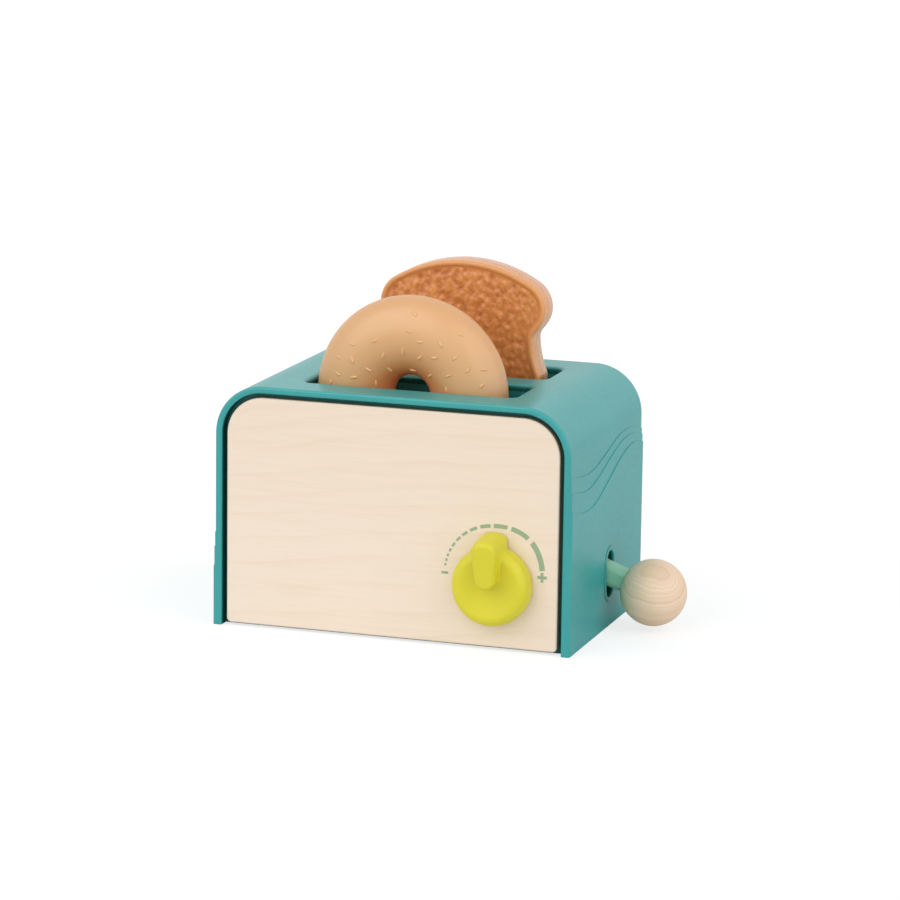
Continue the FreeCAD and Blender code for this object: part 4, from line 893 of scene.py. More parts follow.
class GrowKit(NodeNet):
    """A geometry-nodes tree and the piece that it grows."""

    def __init__(self, name: str, **inputs: tuple[str, object]) -> None:
        """Starts a tree with a geometry output and named inputs.

        Args:
            name: Name of the tree and of the piece.
            inputs: Kind and value of each further input.
        """
        self.name = name
        super().__init__(bpy.data.node_groups.new(name, "GeometryNodeTree"))
        face = self.tree.interface
        face.new_socket("Geometry", in_out="INPUT", socket_type="NodeSocketGeometry")
        face.new_socket("Geometry", in_out="OUTPUT", socket_type="NodeSocketGeometry")
        self.values: dict[str, object] = {}
        for title, (kind, value) in inputs.items():
            socket = face.new_socket(title.title(), in_out="INPUT", socket_type=f"NodeSocket{kind}")
            self.values[socket.identifier] = value
        self.given = self.node("NodeGroupInput").outputs

    def direction(self, key: str) -> Socket:
        """Reads a direction or a size that the seed points carry."""
        made = self.node("GeometryNodeInputNamedAttribute", {"Name": key}, data_type="FLOAT_VECTOR")
        return made.outputs[0]

    def copies(self, shape: Socket, **inputs: Socket) -> Socket:
        """Returns copies of a shape, one on each seed point, turned or scaled by the named inputs."""
        ways = {key.title(): value for key, value in inputs.items()}
        return self.node("GeometryNodeInstanceOnPoints",
                         {"Points": self.given["Geometry"], "Instance": shape, **ways}).outputs[0]

    def pattern(self, key: str) -> Socket:
        """Reads the piece that an input names, as one instance."""
        made = self.node("GeometryNodeObjectInfo", {"Object": self.given[key], "As Instance": True})
        return made.outputs["Geometry"]

    def grow(self, seeds: Mesh, geometry: Socket, finish: Material) -> Object:
        """Closes the tree and makes the grown piece a plain mesh.

        Args:
            seeds: Mesh that the tree starts from.
            geometry: Instances that the tree has made.
            finish: Material of the piece.

        Returns:
            The grown piece.
        """
        real = self.node("GeometryNodeRealizeInstances", {"Geometry": geometry})
        dressed = self.node("GeometryNodeSetMaterial",
                            {"Geometry": real.outputs[0], "Material": self.given["Finish"]})
        self.node("NodeGroupOutput", {0: dressed.outputs[0]})
        piece = new_piece(self.name, seeds, finish)
        modifier = piece.modifiers.new("grow", "NODES")
        modifier.node_group = self.tree
        for identifier, value in self.values.items():
            modifier[identifier] = value
        settle(piece)
        return piece


def seed_points(name: str, places: Array, **vectors: Array) -> Mesh:
    """Makes loose points that carry directions.

    Args:
        name: Name of the mesh.
        places: Points in millimetres.
        vectors: Named directions or scales, one row for each point.

    Returns:
        The mesh, in metres.
    """
    made = bpy.data.meshes.new(name)
    made.from_pydata((np.asarray(places, float) * MM).tolist(), [], [])
    for key, values in vectors.items():
        mark(made, key, values)
    return made


@dataclass
class Fasteners:
    """Pan-head screws with a cross recess, grown at the places of each group."""

    steel: Material
    shank: float = 1.25
    head: float = 2.6
    head_height: float = 1.8
    head_chamfer: float = 0.15
    crown: float = 1.75
    recess_arm: float = 1.35
    recess_width: float = 0.34
    recess_depth: float = 1.0
    recess_taper: float = 0.55
    thread_start: float = 0.6
    thread_pitch: float = 0.9
    thread_depth: float = 0.22
    thread_end: float = 1.2
    tip_length: float = 0.8
    tip_radius: float = 0.3
    steps: int = 28

    def screw_mesh(self, length: float) -> Mesh:
        """Makes one screw with its head's seat at the origin and its shank along +Z.

        Args:
            length: Length of the shank.

        Returns:
            The screw's mesh.
        """
        chamfer, top, bottom = self.head_chamfer, -self.head_height, self.recess_depth - self.head_height
        profile = [(0.0, self.shank), (0.0, self.head - chamfer), (-chamfer, self.head)]
        for angle in np.radians(np.linspace(0, 90, 7)):
            profile.append((-chamfer - (self.head_height - chamfer) * math.sin(angle),
                            self.crown + (self.head - self.crown) * math.cos(angle)))
        recess = cross(self.recess_arm, self.recess_width)
        floor = recess * self.recess_taper
        work = Patchwork()
        work.turned(np.array(profile), self.steps)
        work.flat([circle((0, 0), self.crown, self.steps), recess], (0, 1), top)
        work.grid(np.array([raised(recess, (0, 1), top), raised(floor, (0, 1), bottom)]), closed=True)
        work.flat([floor], (0, 1), bottom)
        work.turned(self.thread(length), self.steps)
        return work.mesh(f"screw_{length:g}")

    def thread(self, length: float) -> Array:
        """Draws the section of the shank.

        Args:
            length: Length of the shank.

        Returns:
            Points as distance from the head's seat and radius.
        """
        root, along = self.shank - self.thread_depth, self.thread_start
        points = [(0.0, self.shank), (along, self.shank)]
        while along + self.thread_pitch < length - self.thread_end:
            points += [(along + self.thread_pitch / 3, root), (along + self.thread_pitch, self.shank)]
            along += self.thread_pitch
        tip = length - self.tip_length
        return np.array([*points, (tip, root), (length, self.tip_radius), (length, 0.0)])

    def grow(self, name: str, body: str, seats: list[Point], axis: Point, length: float) -> None:
        """Grows one group of screws.

        Args:
            name: Node that the group stands for.
            body: Body that it moves with.
            seats: Points on which the heads rest, in millimetres.
            axis: Direction of the shanks.
            length: Length of the shank.
        """
        pattern = new_piece(f"{name}_pattern", self.screw_mesh(length), self.steel)
        kit = GrowKit(f"{name}_set", screw=("Object", pattern), finish=("Material", self.steel),
                      seed=("Int", len(name)))
        aim = kit.node("FunctionNodeAlignRotationToVector", {"Vector": kit.direction("axis")}, axis="Z")
        turn = kit.node("FunctionNodeRandomValue", {3: 2 * math.pi, "Seed": kit.given["Seed"]},
                        data_type="FLOAT")
        spin = kit.node("FunctionNodeAxisAngleToRotation", {"Axis": (0, 0, 1), "Angle": turn.outputs[1]})
        both = kit.node("FunctionNodeRotateRotation", {0: aim.outputs[0], 1: spin.outputs[0]},
                        rotation_space="LOCAL")
        made = kit.copies(kit.pattern("Screw"), rotation=both.outputs[0])
        points = seed_points(f"{name}_seats", seats, axis=np.tile(axis, (len(seats), 1)))
        piece = kit.grow(points, made, self.steel)
        bpy.data.objects.remove(pattern)
        mount(piece, body, "steel", name)


@dataclass
class SubAssembly:
    """A part of the toaster that is made on its own."""

    finish: Finish
    fasteners: Fasteners


# ---- casing

@dataclass
class Casing(SubAssembly):
    """The teal arch with its rims, bread slots, lever slot and wave relief."""

    half_width: float = 82.5
    half_depth: float = 57.0
    height: float = 110.0
    corner: float = 22.2
    wall: float = 3.0
    outer_round: float = 1.1
    inner_round: float = 0.8
    relief_step: float = 0.35
    relief_edge: Pair = (0.16, 0.05)
    relief_fall: float = 0.04
    left_drop: float = 37.5
    stations: tuple[float, ...] = (-1.0, -0.45, -0.05)
    waves: tuple[tuple[float, tuple[float, ...]], ...] = (
        (0.49, (7.5, 11.0, 7.5, 2.1, 6.6)),
        (0.60, (14.2, 17.6, 12.3, 5.6, 9.3)),
        (0.75, (22.9, 27.0, 21.2, 10.3, 12.8)))
    relief_feet: Pair = (58.0, 20.5)
    low_lines: Point = (0.0, 4.0, 12.0)
    slot_low: float = -47.5
    slot_high: float = 50.0
    slot_row: float = 23.2
    slot_half: float = 14.5
    slot_corner: float = 4.0
    slot_round: float = 2.6
    lever_row: float = 4.5
    lever_slot_half: float = 5.5
    lever_slot_low: float = 13.3
    lever_slot_high: float = 35.0
    lever_slot_round: float = 0.6
    lip_width: float = 2.0
    lip_height: float = 0.4
    lip_round: float = 0.3
    lip_foot: float = 0.5
    lip_edge: float = 0.12
    ledge_rows: Pair = (48.0, 51.0)
    ledge_width: float = 9.0
    ledge_corner: float = 8.0
    screw_hole: float = 1.55
    screw_bore: float = 1.25
    lap: float = 0.05
    boss_foot: float = 99.0
    boss_radius: float = 3.5
    rod_bosses: tuple[Pair, ...] = ((-54.5, 12.0), (57.0, -12.0))
    rod_boss_radius: float = 5.0
    rod_bore: float = 2.5
    base_boss_span: Pair = (3.0, 19.0)
    base_boss_radius: float = 4.5
    # Where the painted shade of the hollows starts and how deep it fades in, the painted shadow line at the
    # lip's foot and the share of painted shade on the ledges.
    painted_shade_start: float = 0.15
    painted_shade_depth: float = 1.25
    lip_foot_painted_shade: float = 0.9
    ledge_painted_shade: float = 0.5
    columns: int = 97
    pitches: Pair = (6.0, 5.0)
    work: Patchwork = field(default_factory=Patchwork)

    def wave_heights(self, side: Side, rows: Array) -> Array:
        """Reads the waves of one side.

        Args:
            side: HIGH for the right side, LOW for the left.
            rows: Places in Y.

        Returns:
            Heights, one line for each wave from the lowest up and one column for each place.
        """
        start = self.height - self.corner - (self.left_drop if side is Side.LOW else 0.0)
        lines = []
        for crest, drops in reversed(self.waves):
            knots = np.array([*self.stations, crest, 1.0]) * self.half_depth
            lines.append(start - natural_spline(knots, np.array(drops), rows))
        return np.array(lines)

    def side_rows(self, side: Side, rows: Array) -> tuple[Array, Array, int]:
        """Lays mesh lines along the waves of one side, from its foot up to the corner.

        Args:
            side: HIGH for the right side, LOW for the left.
            rows: Places in Y.

        Returns:
            Heights as lines and columns, how far each line is lifted, and the number of level lines.
        """
        foot = self.relief_feet[0 if side is Side.HIGH else 1]
        lines = self.wave_heights(side, rows)
        full = np.ones(len(rows))
        levels = (*self.low_lines, foot * 0.4 + 8.0)
        heights = [height * full for height in levels if height < foot - self.low_lines[1]]
        level = len(heights)
        lifts = [len(lines) * self.relief_step] * level
        low = foot * full
        for number, line in enumerate(lines):
            lift = (len(lines) - number) * self.relief_step
            high = line - self.relief_edge[0]
            for share in np.linspace(0, 1, 7):
                heights.append(low + (high - low) * share)
                lifts.append(lift)
            heights.append(line - self.relief_edge[1])
            lifts.append(lift - self.relief_fall)
            low = line
        shoulder = (self.height - self.corner) * full
        for share in np.linspace(0, 1, 7 if side is Side.HIGH else 12):
            heights.append(low + (shoulder - low) * share)
            lifts.append(0.0)
        return np.array(heights), np.array(lifts), level

    def rows_at(self, rows: Array) -> tuple[Array, Array, Array, dict[str, int]]:
        """Walks along the arch from its right foot to its left foot.

        Args:
            rows: Places in Y.

        Returns:
            Outer points as X and Z for each line and place, the outward direction and the lift of each
            line, and the number of the line where each part ends.
        """
        spring, shoulder = self.half_width - self.corner, self.height - self.corner
        right, right_lift, level = self.side_rows(Side.HIGH, rows)
        left, left_lift, _ = self.side_rows(Side.LOW, rows)
        ends = {"foot": level, "right": len(right) - 1}
        outward = [(1.0, 0.0)] * len(right)
        points = [np.column_stack((np.full(len(rows), self.half_width), line)) for line in right]
        full = np.ones((len(rows), 1))
        for centre, start in ((spring, 0), (-spring, 90)):
            if start:
                ends["top_right"] = len(points) - 1
                for x in np.linspace(spring, -spring, 21)[1:]:
                    points.append(full * (x, self.height))
                    outward.append((0.0, 1.0))
                ends["top_left"] = len(points) - 1
            for ray in arc((0, 0), 1.0, start, start + 90, 30)[1:]:
                outward.append(tuple(ray))
                points.append(full * ((centre, shoulder) + self.corner * ray))
        points += [np.column_stack((np.full(len(rows), -self.half_width), line)) for line in left[-2::-1]]
        outward += [(-1.0, 0.0)] * (len(left) - 1)
        lift = np.concatenate((right_lift, np.zeros(len(points) - len(right) - len(left) + 1),
                               left_lift[-2::-1]))
        return np.array(points), np.array(outward), lift, ends

    def rim(self) -> list[Point]:
        """Draws the rim's section from the outside to the inside.

        Returns:
            Inset from the rim plane, offset from the outside and share of the relief at each point.
        """
        outer = arc((self.outer_round, -self.outer_round), self.outer_round, 90, 180, 7)
        inner = arc((self.inner_round, self.inner_round - self.wall), self.inner_round, 180, 270, 6)
        return [(*place, 1.0) for place in outer] + [(*place, 0.0) for place in inner]

    def slot_loop(self, row: float, grow: float = 0.0) -> Loop:
        """Returns a bread slot's outline."""
        return rounded_rectangle((self.slot_low, row - self.slot_half),
                                 (self.slot_high, row + self.slot_half), self.slot_corner, grow)

    def lever_loop(self, grow: float = 0.0) -> Loop:
        """Returns the lever slot's outline in Y and Z."""
        return stadium(self.lever_row, self.lever_slot_low, self.lever_slot_high, self.lever_slot_half, grow)

    def shifted(self, rows: Array, offset: float, share: float) -> Array:
        """Moves the arch's mesh lines outwards.

        Args:
            rows: Places in Y.
            offset: How far all lines move.
            share: Share of the relief that is added.

        Returns:
            Points as lines, places and coordinates.
        """
        points, outward, lift, _ = self.rows_at(rows)
        reach = offset + share * lift
        placed = points + (outward * reach[:, None])[:, None, :]
        deep = np.broadcast_to(rows, placed.shape[:2])
        return np.stack((placed[..., 0], deep, placed[..., 1]), axis=-1)

    def skin(self) -> None:
        """Adds the outside, both rims, the inside and the feet of the wall."""
        reach = self.half_depth - self.outer_round
        rows = np.linspace(-reach, reach, self.columns)
        ends = self.rows_at(rows)[3]
        outer = self.shifted(rows, 0.0, 1.0)
        grows = (self.lip_width + self.lip_foot, self.slot_round)
        self.layer(outer, ends, ends["foot"], self.height, grows, self.pitches)
        rims = {}
        for side in Side:
            rims[side] = np.array([
                self.shifted(np.array([side.value * (self.half_depth - inset)]), offset, share)[:, 0]
                for inset, offset, share in self.rim()])
            self.work.grid(rims[side])
        inner = np.stack((rims[Side.LOW][-1], rims[Side.HIGH][-1]), axis=1)
        self.layer(inner, ends, ends["right"], self.height - self.wall, (0.0, 0.0), (0.0, 0.0))
        for end in (0, -1):
            loop = np.vstack((outer[end, :, :2], rims[Side.HIGH][1:, end, :2],
                              rims[Side.LOW][::-1][:-1, end, :2]))
            self.work.flat([loop], (0, 1), 0.0)

    def layer(self, lines: Array, ends: dict[str, int], level: int, top: float, grows: Pair,
              pitches: Pair) -> None:
        """Adds one side of the wall, which is level around the lever slot and on top.

        Args:
            lines: Mesh lines from the right foot to the left foot.
            ends: Number of the line where each part ends.
            level: Number of the last level line on the right.
            top: Height of the level top.
            grows: How far the outlines of the lever slot and of the bread slots move outwards.
            pitches: Spacing of points in the level patch of the side and in that of the top.
        """
        right, left = ends["top_right"], ends["top_left"]
        self.work.grid(lines[level:right + 1])
        self.work.grid(lines[left:])
        side = self.border(lines[:level + 1], (1, 2))
        self.work.flat([side, self.lever_loop(grows[0])], (1, 2), lines[0, 0, 0], pitches[0])
        slots = [self.slot_loop(row, grows[1]) for row in (-self.slot_row, self.slot_row)]
        self.work.flat([self.border(lines[right:left + 1], (0, 1)), *slots], (0, 1), top, pitches[1])

    @staticmethod
    def border(patch: Array, axes: tuple[int, int]) -> Loop:
        """Returns the outline of a grid patch in two of its coordinates."""
        loop = np.vstack((patch[0], patch[1:, -1], patch[-1, :-1][::-1], patch[1:-1, 0][::-1]))
        return loop[:, list(axes)]

    def slots(self) -> None:
        """Adds the edges and walls of the bread slots and of the lever slot with its low lip."""
        edge = arc((self.slot_round, self.height - self.slot_round), self.slot_round, 90, 180, 8)
        for row in (-self.slot_row, self.slot_row):
            rings = [raised(self.slot_loop(row, grow), (0, 1), level) for grow, level in edge]
            rings.append(raised(self.slot_loop(row), (0, 1), self.height - self.wall))
            self.work.grid(np.array(rings), closed=True)
        face = self.half_width + len(self.waves) * self.relief_step
        crown, outer, inner = face + self.lip_height, self.lip_round, self.lever_slot_round
        steps = [(face, self.lip_width + self.lip_foot), (face - self.lip_edge, self.lip_width),
                 *arc((crown - outer, self.lip_width - self.lip_edge - outer), outer, 90, 0, 4),
                 *arc((crown - inner, inner), inner, 0, -90, 6),
                 (self.half_width, 0.0), (self.half_width - self.wall, 0.0)]
        rings = [raised(self.lever_loop(grow), (1, 2), level) for level, grow in steps]
        self.work.grid(np.array(rings), closed=True)

    def ledges(self) -> None:
        """Adds the frames that carry the boards."""
        half, top = self.half_width - self.wall, self.height - self.wall
        outline = arch(half + self.lap, 0.0, top + self.lap, self.corner - self.wall + self.lap)
        reach = half - self.ledge_width
        window = rounded_rectangle((-reach, self.ledge_width), (reach, top - self.ledge_width),
                                   self.ledge_corner)
        holes = [circle(place, self.screw_hole, 16) for place in BOARD_SCREWS]
        for side in Side:
            near, far = (side.value * row for row in self.ledge_rows)
            self.work.plate([outline, window, *holes], (0, 2), near, far)

    def bosses(self) -> None:
        """Adds the screw bosses and rod sockets inside."""
        span = (self.boss_foot, self.height - self.wall + self.lap)
        for place in CHUTE_SCREWS:
            self.boss(place, *span, self.boss_radius, self.screw_bore, 4.6)
        for place in self.rod_bosses:
            self.boss(place, *span, self.rod_boss_radius, self.rod_bore, 6.0)
        for place in BASE_SCREWS:
            self.boss(place, *self.base_boss_span, self.base_boss_radius, self.screw_bore, 8.3)

    def boss(self, place: Pair, low: float, high: float, radius: float, bore: float, depth: float) -> None:
        """Adds one upright boss between two heights, with a bore from below."""
        profile = np.array([(low + depth, 0.0), (low + depth, bore), (low, bore), (low, radius),
                            (high, radius), (high, 0.0)])
        self.work.turned(profile, 28, Matrix.Translation((*place, 0.0)))

    def mark_painted_shade(self, mesh: Mesh) -> None:
        """Marks how deep each point lies behind the outside, for the shade painted into the hollows.

        Args:
            mesh: The casing's mesh, which gets the attribute hollow, the share of painted shade from 0
                outside to 1 inside.
        """
        points = points_of(mesh)
        x, y, z = np.abs(points).T
        depth = -round_corner(x - self.half_width + self.corner, z - self.height + self.corner, self.corner)
        right, plane = points[:, 0], points[:, 1:]
        in_slot = inside(plane, self.lever_loop(self.lap)) & (right > 0)
        depth[in_slot] += len(self.waves) * self.relief_step + self.lip_height
        # The hollow mark is painted shade: it darkens the slots' walls, the gap behind the rims and the
        # inside.
        hollow = smooth_step((depth - self.painted_shade_start) / self.painted_shade_depth)
        wide, tight = (inside(plane, self.lever_loop(self.lip_width + lap)) for lap in (self.lap, -self.lap))
        # A painted shadow line along the foot of the lever slot's lip, and less painted shade on the ledges'
        # faces.
        hollow[wide & ~tight & (right > self.half_width)] = self.lip_foot_painted_shade
        hollow[np.isclose(y, self.ledge_rows[1])] *= self.ledge_painted_shade
        mark(mesh, "hollow", hollow)

    def build(self) -> None:
        """Makes the casing and the screws of its base plate."""
        self.skin()
        self.slots()
        self.ledges()
        self.bosses()
        piece = new_piece("casing", self.work.mesh("casing"), self.finish.teal)
        self.mark_painted_shade(piece.data)
        even_normals(piece)
        mount(piece, "chassis", "teal_plastic", "shell")
        dress(self.finish.teal, "base_plate")
        seats = [(x, y, BASE_SEAT) for x, y in BASE_SCREWS]
        self.fasteners.grow("base_screws", "chassis", seats, (0, 0, 1), LONG_SCREW)


# ---- boards

@dataclass
class Boards(SubAssembly):
    """The two wooden boards, the printed scale around the dial and the boards' screws."""

    face: float = -56.0
    middle: Pair = (48.0, 33.45)
    radius: float = 22.5
    swell: float = 1.35
    swell_peak: float = 48.0
    ink: float = 0.05
    minus: tuple[float, float, float, float] = (24.0, 32.6, 27.1, 33.75)
    plus: Pair = (70.2, 34.7)
    plus_arm: float = 2.2
    plus_half: float = 0.66
    dashes: tuple[Point, ...] = (
        (10.7, 43.4, 2.5), (49.2, 70.3, 2.15), (74.8, 90.6, 1.9), (94.4, 106.6, 1.6),
        (110.6, 119.6, 1.4), (123.2, 130.4, 1.25), (133.7, 139.9, 1.15), (143.2, 148.3, 1.1),
        (151.4, 155.3, 1.05), (158.0, 161.5, 1.0), (164.2, 167.2, 1.0), (169.8, 172.6, 0.95))

    def scale(self) -> Object:
        """Grows the dashes of the scale along their arc.

        Returns:
            The dashes as one piece.
        """
        kit = GrowKit("dial_scale", finish=("Material", self.finish.ink), radius=("Float", self.radius * MM),
                      across=("Float", self.middle[0] * MM), up=("Float", self.middle[1] * MM),
                      swell=("Float", self.swell * MM), peak=("Float", math.radians(self.swell_peak)))
        dash = kit.node("GeometryNodeMeshCube", {"Size": (1, 1, 1), "Vertices X": 17, "Vertices Y": 2,
                                                 "Vertices Z": 2})
        row = kit.copies(dash.outputs[0], scale=kit.direction("dash"))
        real = kit.node("GeometryNodeRealizeInstances", {"Geometry": row})
        wrapped = kit.node("GeometryNodeSetPosition",
                           {"Geometry": real.outputs[0], "Position": self.wrap(kit)})
        places, sizes = [], []
        for first, last, thick in self.dashes:
            places.append((math.radians(first + last) / 2 * self.radius, 0.0, self.face - self.ink / 2))
            sizes.append((math.radians(last - first) * self.radius * MM, thick * MM, self.ink * MM))
        return kit.grow(seed_points("dial_scale", places, dash=sizes), wrapped.outputs[0], self.finish.ink)

    @staticmethod
    def wrap(kit: GrowKit) -> Socket:
        """Bends the straight row of dashes around the dial, further out where it swells.

        Args:
            kit: The scale's tree.

        Returns:
            The new place of each point.
        """
        straight = kit.node("GeometryNodeInputPosition").outputs[0]
        place = kit.node("ShaderNodeSeparateXYZ", {0: straight}).outputs
        angle = kit.maths("DIVIDE", place["X"], kit.given["Radius"])
        away = kit.maths("DIVIDE", kit.maths("SUBTRACT", angle, kit.given["Peak"]), kit.given["Peak"])
        away = kit.maths("MINIMUM", kit.maths("ABSOLUTE", away), 1.0)
        swell = kit.maths("POWER", kit.maths("COSINE", kit.maths("MULTIPLY", away, math.pi / 2)), 2.0)
        reach = kit.maths("ADD", place["Y"], kit.given["Radius"])
        reach = kit.maths("ADD", reach, kit.maths("MULTIPLY", swell, kit.given["Swell"]))
        across = kit.maths("MULTIPLY_ADD", reach, kit.maths("COSINE", angle), kit.given["Across"])
        up = kit.maths("MULTIPLY_ADD", reach, kit.maths("SINE", angle), kit.given["Up"])
        return kit.node("ShaderNodeCombineXYZ", {0: across, 1: place["Z"], 2: up}).outputs[0]

    def signs(self) -> Object:
        """Makes the minus and plus signs at the ends of the scale.

        Returns:
            Both signs as one piece.
        """
        left, low, right, high = self.minus
        minus = np.array([(left, low), (right, low), (right, high), (left, high)])
        work = Patchwork()
        for outline in (minus, cross(self.plus_arm, self.plus_half) + self.plus):
            work.plate([outline], (0, 2), self.face - self.ink, self.face)
        return new_piece("scale_signs", work.mesh("scale_signs"), self.finish.ink)

    def build(self) -> None:
        """Dresses the boards and makes the print and the screws."""
        dress(self.finish.board, "front_panel", "back_panel")
        mount(self.scale(), "chassis", "mint_plastic")
        mount(self.signs(), "chassis", "mint_plastic")
        for name, side in (("front_panel_screws", -1), ("back_panel_screws", 1)):
            seats = [(x, side * BOARD_SEAT, z) for x, z in BOARD_SCREWS]
            self.fasteners.grow(name, "chassis", seats, (0, side, 0), SHORT_SCREW)


# ---- bread well

class BreadWell(SubAssembly):
    """The chute below the slots, the tray and its guide rods."""

    def build(self) -> None:
        """Dresses the chute, tray and rods and makes the chute's screws."""
        # The chute and tray take the darker teal, painted shade for the inside of the slots.
        dress(self.finish.well, "bread_chute", "bread_tray")
        dress(self.finish.steel, "guide_rods")
        seats = [(x, y, CHUTE_SEAT) for x, y in CHUTE_SCREWS]
        self.fasteners.grow("chute_screws", "chassis", seats, (0, 0, 1), SHORT_SCREW)


# ---- lever

@dataclass
class Lever(SubAssembly):
    """The see-saw lever with its wooden ball, pin, bracket and washers."""

    pivot: Point = (69.5, 4.5, 29.0034)
    slope: float = 18.5
    reach: float = 36.6
    radius: float = 15.1
    seat: float = 13.7
    seat_round: float = 0.7
    peg_radius: float = 3.0
    peg_length: float = 14.0
    pole: Point = (0.157, -0.5873, 0.794)
    screw_rows: Pair = (-8.2, 8.2)

    def along(self) -> Vector:
        """Returns the direction from the pivot to the ball."""
        angle = math.radians(self.slope)
        return Vector((math.cos(angle), 0.0, -math.sin(angle)))

    def ball(self) -> Object:
        """Turns the ball with its flat seat and the hole for the arm's peg.

        Returns:
            The ball.
        """
        middle = Vector(self.pivot) + self.reach * self.along()
        beech = TurnedWood("beech", shade(254, 229, 202), shade(230, 194, 158), tuple(middle * MM),
                           self.pole).make()
        edge = math.sqrt(self.radius ** 2 - self.seat ** 2)
        floor = self.peg_length - self.seat
        profile = [(floor, 0.0), (floor, self.peg_radius), (-self.seat, self.peg_radius),
                   (-self.seat, edge - self.seat_round), (-self.seat + 0.06, edge - 0.25)]
        start = math.degrees(math.atan2(edge, -self.seat))
        profile += list(arc((0, 0), self.radius, start - 2.0, 0.0, 63))
        place = Matrix.Translation(middle) @ self.along().to_track_quat("Z", "Y").to_matrix().to_4x4()
        work = Patchwork()
        work.turned(np.array(profile), 112, place)
        return new_piece("ball", work.mesh("ball"), beech)

    def build(self) -> None:
        """Makes the ball and the bracket's screws and dresses the rest of the lever."""
        finish = self.finish
        mount(self.ball(), "lever", "beech", "ball_handle")
        dress(finish.mint, "lever_arm")
        dress(finish.steel, "link_pin", "lever_pin", "pin_clip")
        dress(finish.white, "lever_bracket")
        dress(finish.rubber, "friction_washers")
        seats = [(self.pivot[0], self.pivot[1] + row, BASE_SEAT) for row in self.screw_rows]
        self.fasteners.grow("bracket_screws", "chassis", seats, (0, 0, 1), LONG_SCREW)


# ---- dial

